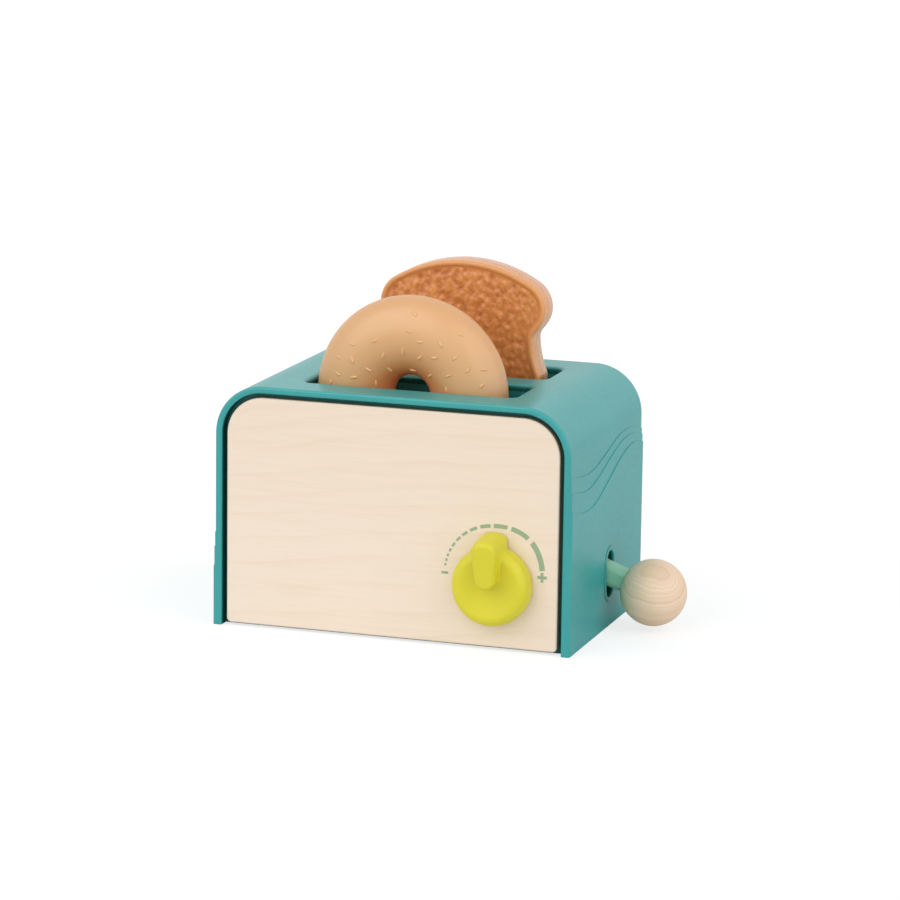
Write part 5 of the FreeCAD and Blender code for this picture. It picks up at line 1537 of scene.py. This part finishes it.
@dataclass
class Dial(SubAssembly):
    """The yellow knob with its raised pointer, and the click parts behind the board."""

    axis: Pair = (48.5, 30.0)
    back: float = -56.5
    radius: float = 17.7
    thickness: float = 10.0
    rim_round: float = 5.0
    dish: float = 1.7
    dish_reach: float = 14.0
    ridge: float = 18.7
    ridge_fall: float = 3.2
    ridge_inner: float = 0.7
    ridge_top: float = 23.7
    ridge_slant: float = 1.9
    ridge_bow: float = 30.0
    narrow: float = 3.9
    wide: float = 6.1
    draft: float = 0.03
    edge: float = 1.2
    corner: float = 3.8
    seam: float = 1.7
    dish_round: float = 1.4
    back_round: float = 0.4
    pixel: float = 0.42
    rounds: int = 24
    probe: float = 0.02
    furthest: float = 0.8
    stem_radius: float = 4.0
    stem_end: float = -50.7
    key_radius: float = 3.4
    key_end: float = -48.2
    key_bore: float = 1.25
    key_bore_depth: float = 9.5
    lap: float = 0.4
    screw_seat: float = -47.4
    spring_seat: Point = (6.5, -48.5, 19.2)
    spring_screw: float = 6.5

    def distance(self, points: Array) -> Array:
        """Returns the signed distance to the knob's skin.

        Args:
            points: Places as right, up and forward from the knob's back, in millimetres.

        Returns:
            Distances, negative inside.
        """
        u, w, t = points.T
        rho = np.hypot(u, w)
        disc = round_corner(rho - (self.radius - self.rim_round), t - (self.thickness - self.rim_round),
                            self.rim_round)
        bowl_radius = (self.dish_reach ** 2 + self.dish ** 2) / (2 * self.dish)
        bowl = np.sqrt(rho ** 2 + (t - (self.thickness + bowl_radius - self.dish)) ** 2) - bowl_radius
        disc = self.meet(disc, -bowl, self.dish_round)
        body = self.join(disc, self.pointer(u, w, t), self.seam)
        return self.meet(body, -t, self.back_round)

    def pointer(self, u: Array, w: Array, t: Array) -> Array:
        """Returns the signed distance to the pointer's skin.

        Args:
            u: Places to the right.
            w: Places upwards.
            t: Places forward.

        Returns:
            Distances, negative inside.
        """
        share = np.clip(w / self.ridge_top, 0, 1)
        half = self.narrow + (self.wide - self.narrow) * share + self.draft * (self.ridge - t)
        heel = self.ridge_inner + self.narrow
        flank = np.where(w > heel, np.abs(u) - half, np.hypot(u, w - heel) - half)
        lean = self.ridge_slant * np.clip(t / self.ridge, 0, 1.2) ** 2
        slant = w + u ** 2 / self.ridge_bow - self.ridge_top + lean
        plan = round_corner(flank + self.corner, slant + self.corner, self.corner)
        crest = t - self.ridge + self.ridge_fall * np.clip(1 - w / self.ridge_top, 0, 1.2)
        return self.meet(plan, crest, self.edge * 2.4)

    @staticmethod
    def join(first: Array, second: Array, radius: float) -> Array:
        """Joins two distances with a rounded hollow."""
        mix = np.maximum(radius - np.abs(first - second), 0) / radius
        return np.minimum(first, second) - mix ** 3 * radius / 6

    def meet(self, first: Array, second: Array, radius: float) -> Array:
        """Keeps what two distances share, with a rounded edge."""
        return -self.join(-first, -second, radius)

    def rough(self) -> Mesh:
        """Makes a coarse blank of the knob, a little under size, to be drawn onto its skin.

        Returns:
            The blank.
        """
        work = Patchwork()
        radius, lid, top = self.radius - 0.6, self.thickness - 1.0, self.ridge_top - 2.6
        work.turned(np.array([(0.0, 0.0), (0.0, radius), (lid, radius), (lid, 0.0)]), 72)
        outline = np.array([(-3.0, 2.6), (-1.5, 1.3), (1.5, 1.3), (3.0, 2.6), (4.4, top), (-4.4, top)])
        work.plate([outline], (0, 1), 0.3, self.ridge - self.ridge_fall - 0.8)
        return work.mesh("knob_blank")

    def knob(self) -> Object:
        """Makes the knob by drawing a fine blank onto its skin.

        Returns:
            The knob with its stem.
        """
        piece = new_piece("knob", self.rough(), self.finish.yellow)
        remesh = piece.modifiers.new("blank", "REMESH")
        remesh.mode = "VOXEL"
        remesh.voxel_size = self.pixel * MM
        settle(piece)
        points = points_of(piece.data)
        edges = np.zeros(len(piece.data.edges) * 2, int)
        piece.data.edges.foreach_get("vertices", edges)
        for _ in range(self.rounds):
            points = self.draw(self.relax(points, edges.reshape(-1, 2)))
        x, z = self.axis
        placed = np.column_stack((points[:, 0] + x, self.back - points[:, 2], points[:, 1] + z))
        piece.data.vertices.foreach_set("co", (placed * MM).ravel())
        weld(piece.data, 0.0, 0.0)
        self.add_stem(piece)
        return piece

    @staticmethod
    def relax(points: Array, edges: Array) -> Array:
        """Moves each point half way to the middle of its neighbours.

        Args:
            points: Points, one row each.
            edges: Numbers of the two points of each edge.

        Returns:
            The moved points.
        """
        total, count = np.zeros_like(points), np.zeros(len(points))
        for near, far in (edges.T, edges.T[::-1]):
            np.add.at(total, near, points[far])
            np.add.at(count, near, 1)
        return points + 0.5 * (total / count[:, None] - points)

    def draw(self, points: Array) -> Array:
        """Moves each point onto the knob's skin.

        Args:
            points: Points, one row each.

        Returns:
            The moved points.
        """
        step = self.probe
        for _ in range(3):
            slope = np.column_stack([
                (self.distance(points + step * axis) - self.distance(points - step * axis)) / (2 * step)
                for axis in np.eye(3)])
            size = np.maximum((slope ** 2).sum(axis=1), 0.25)
            move = np.clip(self.distance(points) / size, -self.furthest, self.furthest)
            points = points - slope * move[:, None]
        return points

    def add_stem(self, piece: Object) -> None:
        """Adds the stem and its six-sided end behind the knob.

        Args:
            piece: The knob.
        """
        x, z = self.axis
        start = self.back - self.lap
        along = Matrix.Translation((x, start, z)) @ Matrix.Rotation(math.radians(-90), 4, "X")
        stem, end, radius = self.stem_end - start, self.key_end - start, self.stem_radius
        floor = end - self.key_bore_depth
        work = Patchwork()
        work.turned(np.array([(0.0, 0.0), (0.0, radius), (stem - 0.4, radius), (stem, radius - 0.4),
                              (stem, 0.0)]), 40, along)
        work.turned(np.array([(stem - 0.2, 0.0), (stem - 0.2, self.key_radius), (end, self.key_radius),
                              (end, self.key_bore), (floor, self.key_bore), (floor, 0.0)]), 6, along)
        stem_piece = new_piece("stem", work.mesh("stem", 25.0), piece.data.materials[0])
        with bpy.context.temp_override(active_object=piece, selected_editable_objects=[piece, stem_piece]):
            bpy.ops.object.join()

    def build(self) -> None:
        """Makes the knob and the screws and dresses the click parts."""
        mount(self.knob(), "dial", "yellow_plastic", "dial_knob")
        dress(self.finish.white, "click_wheel", "click_spring")
        dress(self.finish.steel, "dial_washer")
        x, z = self.axis
        self.fasteners.grow("dial_screw", "dial", [(x, self.screw_seat, z)], (0, -1, 0), LONG_SCREW)
        along, deep, up = self.spring_seat
        seats = [(x + shift, deep, z + up) for shift in (-along, along)]
        self.fasteners.grow("click_spring_screws", "chassis", seats, (0, -1, 0), self.spring_screw)


# ---- bagel

@dataclass
class Bagel(SubAssembly):
    """The play bagel: two moulded halves with seeds raised on them."""

    middle: Point = (-1.4, -23.2, 105.5)
    radius: float = 44.3
    hole: float = 8.7
    thickness: float = 26.0
    wall: float = 2.4
    seam: float = 0.3
    joint: float = 0.02
    seed_length: float = 3.3
    seed_width: float = 1.15
    seed_height: float = 1.0
    seed_gap: float = 5.6
    seed_sizes: Pair = (0.82, 1.12)
    tries: int = 1400
    laid: tuple[Point, ...] = (
        (138.0, 66.2, 108), (147.3, 82.1, 55), (164.3, 70.2, 72), (161.7, 95.7, 118), (145.6, 109.4, 93),
        (160.0, 130.7, 24), (118.4, 108.0, 47), (123.7, 133.9, 97), (92.5, 107.4, 81), (69.4, 111.4, 62),
        (77.9, 143.1, 3), (43.1, 128.0, 83), (53.6, 98.6, 41), (29.3, 99.4, 84), (56.7, 76.6, 152),
        (74.0, 88.6, 16), (49.7, 45.8, 26), (26.3, 68.7, 115), (22.3, 45.6, 66), (12.6, 55.5, 123),
        (119.6, 83.4, 171), (86.8, 77.3, 162), (40.0, 75.9, 99), (152.9, 59.9, 94), (14.6, 110.8, 177),
        (84.8, 49.8, 143))

    def at(self, angle: float, lean: float) -> tuple[Vector, Vector, Vector, Vector]:
        """Finds a place on the bagel's skin.

        Args:
            angle: Place around the ring in degrees, from +X towards +Z.
            lean: Place around the section in degrees, 0 at the rim, 90 at the front, -90 at the back.

        Returns:
            The place, its outward direction, the way around the ring and the way out from the hole.
        """
        half, depth = (self.radius - self.hole) / 2, self.thickness / 2
        a, b = math.radians(angle), math.radians(lean)
        ray, around = Vector((math.cos(a), 0, math.sin(a))), Vector((-math.sin(a), 0, math.cos(a)))
        front = Vector((0, -1, 0))
        reach = self.hole + half + half * math.cos(b)
        place = Vector(self.middle) + ray * reach + front * depth * math.sin(b)
        normal = (ray * math.cos(b) / half + front * math.sin(b) / depth).normalized()
        return place, normal, around, around.cross(normal)

    def half(self, side: Side, finish: Material) -> Object:
        """Turns one hollow half.

        Args:
            side: LOW for the front half, HIGH for the back one.
            finish: Its material.

        Returns:
            The half.
        """
        ring, half = (self.radius + self.hole) / 2, (self.radius - self.hole) / 2
        depth = self.thickness / 2
        inner, hollow = half - self.wall, depth - self.wall
        start = math.degrees(math.asin(self.seam / depth))
        profile = np.vstack(((self.joint, half - self.seam),
                             arc((0, 0), 1.0, start, 180 - start, 52)[:, ::-1] * (depth, half),
                             (self.joint, self.seam - half), (self.joint, -inner),
                             arc((0, 0), 1.0, 180 - start, start, 24)[:, ::-1] * (hollow, inner),
                             (self.joint, inner), (self.joint, half - self.seam)))
        place = Matrix.Translation(self.middle) @ Matrix.Rotation(math.radians(-90), 4, "X")
        work = Patchwork()
        work.turned(profile * (side.value, 1) + (0, ring), 168, place)
        name = "bagel_half_front" if side is Side.LOW else "bagel_half_back"
        return new_piece(name, work.mesh(name, 40.0), finish)

    def seed_mesh(self) -> Mesh:
        """Makes one plump seed along X, which lies half sunk.

        Returns:
            The seed's mesh.
        """
        profile = []
        for angle in np.radians(np.linspace(0, 180, 9)):
            taper = 1.0 - 0.25 * math.cos(angle)
            profile.append((-0.5 * math.cos(angle), 0.5 * math.sin(angle) ** 0.75 * taper))
        work = Patchwork()
        work.turned(np.array(profile), 10, Matrix.Rotation(math.radians(90), 4, "Y"))
        mesh = work.mesh("seed", 80.0)
        mesh.transform(Matrix.Diagonal((self.seed_length, self.seed_width, self.seed_height, 1.0)))
        return mesh

    def seed_places(self) -> list[Point]:
        """Lays the chosen seeds and scatters as many more as the rest of the skin takes.

        Returns:
            Place around the ring, place around the section and turn of each seed, in degrees.
        """
        places = list(self.laid)
        taken = [self.at(angle, lean)[0] for angle, lean, _ in places]
        chance = random.Random(BAGEL_SEED)
        for _ in range(self.tries):
            angle, lean, turn = chance.uniform(0, 360), chance.uniform(35, 145), chance.uniform(0, 180)
            back = chance.random() < 0.6
            if not back and 0 < angle < 172:
                continue
            lean = -lean if back else lean
            spot = self.at(angle, lean)[0]
            if all((spot - other).length > self.seed_gap for other in taken):
                taken.append(spot)
                places.append((angle, lean, turn))
        return places

    def seeds(self, finish: Material) -> Object:
        """Grows the seeds on the skin.

        Args:
            finish: Their material.

        Returns:
            All the seeds as one piece.
        """
        spots, normals, lies = [], [], []
        for angle, lean, turn in self.seed_places():
            place, normal, around, out = self.at(angle, lean)
            spots.append(place)
            normals.append(normal)
            lies.append(around * math.cos(math.radians(turn)) - out * math.sin(math.radians(turn)))
        pattern = new_piece("seed_pattern", self.seed_mesh(), finish)
        kit = GrowKit("bagel_seeds", shape=("Object", pattern), finish=("Material", finish),
                      smallest=("Float", self.seed_sizes[0]), largest=("Float", self.seed_sizes[1]),
                      seed=("Int", 5))
        given = kit.given
        up = kit.node("FunctionNodeAlignRotationToVector", {"Vector": kit.direction("normal_out")}, axis="Z")
        aim = kit.node("FunctionNodeAlignRotationToVector",
                       {"Rotation": up.outputs[0], "Vector": kit.direction("lie")}, axis="X", pivot_axis="Z")
        limits = {2: given["Smallest"], 3: given["Largest"], "Seed": given["Seed"]}
        size = kit.node("FunctionNodeRandomValue", limits, data_type="FLOAT")
        made = kit.copies(kit.pattern("Shape"), rotation=aim.outputs[0], scale=size.outputs[1])
        piece = kit.grow(seed_points("seed_spots", spots, normal_out=normals, lie=lies), made, finish)
        bpy.data.objects.remove(pattern)
        return piece

    def build(self) -> None:
        """Makes both halves and the seeds in their own two finishes."""
        middle = tuple(MM * value for value in self.middle)
        crust = BakedRing("bagel_crust", shade(225, 173, 120), shade(230, 141, 82), middle, self.hole,
                          self.radius).make()
        seed = MouldedPlastic("seed_plastic", shade(240, 190, 132), shade(233, 181, 122), 0.36, 0.010).make()
        for side, node in ((Side.LOW, "bagel_front"), (Side.HIGH, "bagel_back")):
            mount(self.half(side, crust), "bagel", "bagel_plastic", node)
        mount(self.seeds(seed), "bagel", "bagel_plastic")


# ---- toast

@dataclass
class Toast(SubAssembly):
    """The play toast: two moulded halves, each with a raised crust around a bumpy crumb."""

    across: float = 8.1
    row: float = 23.2
    top: float = 160.0
    bottom: float = 64.8
    dome: float = 62.0
    lobe: float = 13.5
    lobe_half: float = 39.1
    neck: float = 33.3
    neck_round: float = 2.4
    base: float = 37.2
    flank_drop: float = 51.0
    flank_bow: float = 1.0
    corner: float = 5.0
    half_thickness: float = 7.0
    edge_round: float = 1.1
    seam: float = 0.3
    joint: float = 0.02
    pitch: float = 0.62
    bump: float = 0.50
    bump_fade: float = 1.6
    crumb_start: float = 1.7
    crumb_band: float = 0.9
    wall_band: float = 1.2
    crease: float = 50.0
    sections: tuple[Pair, ...] = (
        (1.5, 6.99), (1.8, 6.9), (2.1, 6.72), (2.4, 6.5), (2.7, 6.32), (3.0, 6.22), (3.4, 6.18))

    def outline(self) -> Loop:
        """Draws the toast's outline: dome, shoulders, flanks and lower corners.

        Returns:
            Evenly spaced points in X and Z, clockwise and centred on X.
        """
        lobe_x, dome_z = self.lobe_half - self.lobe, self.top - self.dome
        lobe_z = dome_z + math.sqrt((self.dome - self.lobe) ** 2 - lobe_x ** 2)
        lean = math.degrees(math.atan2(lobe_z - dome_z, lobe_x))
        neck_z = lobe_z - math.sqrt(self.lobe ** 2 - (self.neck - lobe_x) ** 2)
        turn = math.degrees(math.atan2(neck_z - lobe_z, self.neck - lobe_x))
        flank = self.top - self.flank_drop
        heights = np.linspace(neck_z, flank, 24)[1:]
        share = (neck_z - heights) / (neck_z - flank)
        flanks = self.neck + (self.base - self.neck) * share - self.flank_bow * np.sin(np.pi * share)
        foot = (self.base - self.corner, self.bottom + self.corner)
        right = np.vstack((arc((0, dome_z), self.dome, 90, lean, 60),
                           arc((lobe_x, lobe_z), self.lobe, lean, turn, 50),
                           np.column_stack((flanks, heights)), arc(foot, self.corner, 0, -90, 12)))
        left = right[::-1] * (-1, 1)
        return self.round_neck(self.even(np.vstack((right, left[:-1])), 0.9), neck_z)

    @staticmethod
    def even(loop: Loop, pitch: float) -> Loop:
        """Samples a closed loop at even steps.

        Args:
            loop: Points of the loop.
            pitch: Length of a step.

        Returns:
            The new points.
        """
        closed = np.vstack((loop, loop[:1]))
        gaps = np.hypot(*np.diff(closed, axis=0).T)
        keep = np.concatenate(([True], gaps > 1e-6))
        closed, along = closed[keep], np.concatenate(([0.0], np.cumsum(gaps[gaps > 1e-6])))
        at = np.linspace(0, along[-1], round(along[-1] / pitch), endpoint=False)
        return np.column_stack([np.interp(at, along, closed[:, axis]) for axis in (0, 1)])

    def round_neck(self, loop: Loop, neck_z: float) -> Loop:
        """Rounds the hollow between the shoulders and the flanks.

        Args:
            loop: The outline.
            neck_z: Height of the hollow.

        Returns:
            The outline with a rounded hollow.
        """
        near = smooth_step(1.8 - np.abs(loop[:, 1] - neck_z) / (2.2 * self.neck_round))[:, None]
        for _ in range(9):
            loop = loop + near * 0.5 * ((np.roll(loop, 1, axis=0) + np.roll(loop, -1, axis=0)) / 2 - loop)
        return loop

    @staticmethod
    def inward(loop: Loop) -> Array:
        """Returns the inward direction at each point of a clockwise loop."""
        along = np.roll(loop, -1, axis=0) - np.roll(loop, 1, axis=0)
        return np.column_stack((along[:, 1], -along[:, 0])) / np.hypot(*along.T)[:, None]

    @staticmethod
    def crumb(x: float, z: float) -> float:
        """Reads how the crumb bulges, with lumps, finer lumps and broad waves.

        Args:
            x: Place across.
            z: Place upwards.

        Returns:
            Height, about -1 to 1.
        """
        place = Vector((x, z * 0.8, 3.0))
        lumps = noise.noise(place / 2.4)
        fine = noise.noise(place / 1.3 + Vector((9, 4, 1)))
        broad = noise.noise(place / 6.5 + Vector((2, 8, 5)))
        return 0.95 * lumps + 0.6 * fine + 0.3 * broad

    def rings(self) -> Array:
        """Lays the rings from the seam over the wall and the crust's bead to the crumb.

        Returns:
            Inset from the outline and distance from the seam's plane of each ring.
        """
        shoulder = self.half_thickness - self.edge_round
        wall = [(0.0, level) for level in np.linspace(0.8, shoulder, 6)]
        bead = arc((self.edge_round, shoulder), self.edge_round, 170, 90, 8)
        return np.array([(self.seam, self.joint), (0.0, self.seam), *wall, *bead, *self.sections])

    def half(self, side: Side, finish: Material) -> Object:
        """Makes one half: the wall, the crust's bead, the bumpy crumb and the seam's flat back.

        Args:
            side: LOW for the front half, HIGH for the back one.
            finish: Its material.

        Returns:
            The half.
        """
        outline, rings = self.outline(), self.rings()
        inward, count = self.inward(outline), len(outline)
        rows = [raised(outline + inward * inset, (0, 2), level) for inset, level in rings]
        edge, seam = rows[-1][:, [0, 2]], rows[0][:, [0, 2]]
        filling = spread([edge], self.pitch, self.pitch * 0.6, 0.22)
        centre = np.vstack((edge, filling))
        swell = np.array([self.crumb(x * side.value, z) for x, z in centre])
        fade = np.concatenate((np.zeros(count), smooth_step(nearest(filling, edge) / self.bump_fade)))
        crumbs = raised(centre, (0, 2), self.sections[-1][1])
        crumbs[:, 1] += self.bump * swell * fade
        points = np.vstack([*rows, crumbs[count:], rows[0]])
        crumb_first = count * (len(rows) - 1)
        back_first = crumb_first + len(centre)
        faces = quads(len(rows), count, True)
        for first, loop, extra in ((crumb_first, edge, filling), (back_first, seam, np.zeros((0, 2)))):
            faces += [tuple(first + corner for corner in face) for face in triangles([loop], extra)]
        zones = np.clip((rings[:, 0] - self.crumb_start) / self.crumb_band, 0, 1)
        walls = np.clip(1.2 - rings[:, 0] / self.wall_band, 0, 1)
        # The swell is stored for the material, which paints the crumb's low points darker, partly as painted
        # shade.
        bulge = np.full(len(points), 0.5)
        bulge[crumb_first:back_first] += 0.5 * swell
        name = "toast_half_front" if side is Side.LOW else "toast_half_back"
        mesh = bpy.data.meshes.new(name)
        placed = points * (1, side.value, 1) + (self.across, self.row, 0)
        mesh.from_pydata((placed * MM).tolist(), [], faces)
        for key, on_rings, on_crumb in (("crumb_zone", zones, 1.0), ("crust_wall", walls, 0.0)):
            mark(mesh, key, np.concatenate((np.repeat(on_rings, count), np.full(len(filling), on_crumb),
                                            np.full(count, 1.0 - on_crumb))))
        mark(mesh, "crumb_swell", bulge)
        weld(mesh, 1e-6, self.crease)
        return new_piece(name, mesh, finish)

    def build(self) -> None:
        """Makes both halves, the front one browner."""
        front = ToastedSlice("toast_front_crust", shade(232, 160, 98), shade(227, 157, 95),
                             shade(240, 161, 91), shade(202, 118, 61)).make()
        back = ToastedSlice("toast_back_crust", shade(230, 176, 136), shade(224, 174, 140),
                            shade(232, 160, 102), shade(200, 124, 74)).make()
        mount(self.half(Side.LOW, front), "toast", "toast_plastic", "toast_front")
        mount(self.half(Side.HIGH, back), "toast", "toast_plastic", "toast_back")


# ---- studio

@dataclass
class Studio:
    """A white floor, soft lamps and the camera."""

    aim: Point = (8.745, 0.0, 75.986)
    distance: float = 1854.5
    azimuth: float = 18.18
    elevation: float = 11.763
    roll: float = 0.794
    lens: float = 164.308
    world: float = 0.515
    key: tuple[Point, float, float] = ((-0.45, -0.68, 0.574), 1.105, 60.0)
    fill: tuple[Point, float, float] = ((0.84, -0.41, 0.35), 1.18, 80.0)
    rear: tuple[Point, float, float] = ((-0.30, 0.945, 0.13), 0.90, 80.0)
    paper: float = 0.82
    paper_shade: float = 0.36
    paper_glow: float = 0.712
    floor_size: float = 9.0
    floor_gap: float = 0.05
    tint: Colour = (0.97, 0.985, 1.0)

    def camera(self) -> None:
        """Places the camera and makes it the scene's own."""
        a, e, r = (math.radians(value) for value in (self.azimuth, self.elevation, self.roll))
        back = Vector((math.sin(a) * math.cos(e), -math.cos(a) * math.cos(e), math.sin(e)))
        right = Vector((math.cos(a), math.sin(a), 0.0))
        up = back.cross(right)
        across = right * math.cos(r) + up * math.sin(r)
        over = up * math.cos(r) - right * math.sin(r)
        data = bpy.data.cameras.new("camera")
        data.lens = self.lens
        data.clip_start, data.clip_end = 0.05, 50.0
        camera = bpy.data.objects.new("camera", data)
        turn = Matrix((across, over, back)).transposed().to_4x4()
        camera.matrix_world = Matrix.Translation((Vector(self.aim) + back * self.distance) * MM) @ turn
        bpy.context.scene.collection.objects.link(camera)
        bpy.context.scene.camera = camera

    def floor(self) -> None:
        """Makes the floor, white to the camera and shaded only where the toaster shades it."""
        mesh = bpy.data.meshes.new("floor")
        size = self.floor_size
        mesh.from_pydata([(-size, -size, 0), (size, -size, 0), (size, size, 0), (-size, size, 0)], [],
                         [(0, 1, 2, 3)])
        bench = Bench("floor_paper")
        plain, paper = (bench.shader("BsdfDiffuse", {"Color": (tone,) * 3, "Roughness": 0.0}).outputs[0]
                        for tone in (self.paper, self.paper_shade))
        glow = bench.shader("Emission", {"Color": (1.0, 1.0, 1.0), "Strength": self.paper_glow})
        seen = bench.shader("AddShader", {0: paper, 1: glow.outputs[0]})
        direct = bench.shader("LightPath").outputs["Is Camera Ray"]
        both = bench.shader("MixShader", {0: direct, 1: plain, 2: seen.outputs[0]})
        floor = new_piece("floor", mesh, bench.finish(both.outputs[0]))
        floor.location.z = -self.floor_gap * MM

    def sky(self) -> None:
        """Fills the studio with even light and a white background."""
        world = bpy.data.worlds.new("studio")
        world.use_nodes = True
        world.node_tree.nodes.clear()
        net = NodeNet(world.node_tree)
        soft = net.node("ShaderNodeBackground", {"Color": self.tint, "Strength": self.world})
        white = net.node("ShaderNodeBackground", {"Color": (1.0, 1.0, 1.0), "Strength": 1.0})
        rays = net.node("ShaderNodeLightPath").outputs
        seen = net.maths("MAXIMUM", rays["Is Camera Ray"], rays["Is Glossy Ray"])
        seen = net.maths("MAXIMUM", seen, rays["Is Transmission Ray"])
        mixed = net.node("ShaderNodeMixShader", {0: seen, 1: soft.outputs[0], 2: white.outputs[0]})
        net.node("ShaderNodeOutputWorld", {"Surface": mixed.outputs[0]})
        bpy.context.scene.world = world

    @staticmethod
    def lamp(name: str, towards: Point, strength: float, width: float) -> Object:
        """Hangs a far, wide lamp.

        Args:
            name: Name of the lamp.
            towards: Direction from the toaster to the lamp.
            strength: Light on a surface that faces the lamp.
            width: How wide the lamp looks from the toaster, in degrees.

        Returns:
            The lamp.
        """
        data = bpy.data.lights.new(name, "SUN")
        data.energy = strength
        data.angle = math.radians(width)
        lamp = bpy.data.objects.new(name, data)
        lamp.location = towards
        lamp.rotation_mode = "QUATERNION"
        lamp.rotation_quaternion = Vector(towards).to_track_quat("Z", "Y")
        bpy.context.scene.collection.objects.link(lamp)
        return lamp

    def build(self) -> None:
        """Sets the whole studio up."""
        self.camera()
        self.floor()
        self.sky()
        self.lamp("key", *self.key)
        self.lamp("fill", *self.fill)
        self.lamp("rear", *self.rear).visible_glossy = False
        bpy.context.scene.view_settings.view_transform = "Standard"


# ---- main


def main() -> None:
    """Builds the studio and every sub-assembly of the toaster."""
    logging.basicConfig(level=logging.INFO, format="%(name)s %(message)s")
    Studio().build()
    finish = Finish()
    fasteners = Fasteners(finish.steel)
    for kind in (Casing, Boards, BreadWell, Lever, Dial, Bagel, Toast):
        LOG.info("building %s", kind.__name__)
        kind(finish, fasteners).build()


if __name__ == "__main__":
    main()
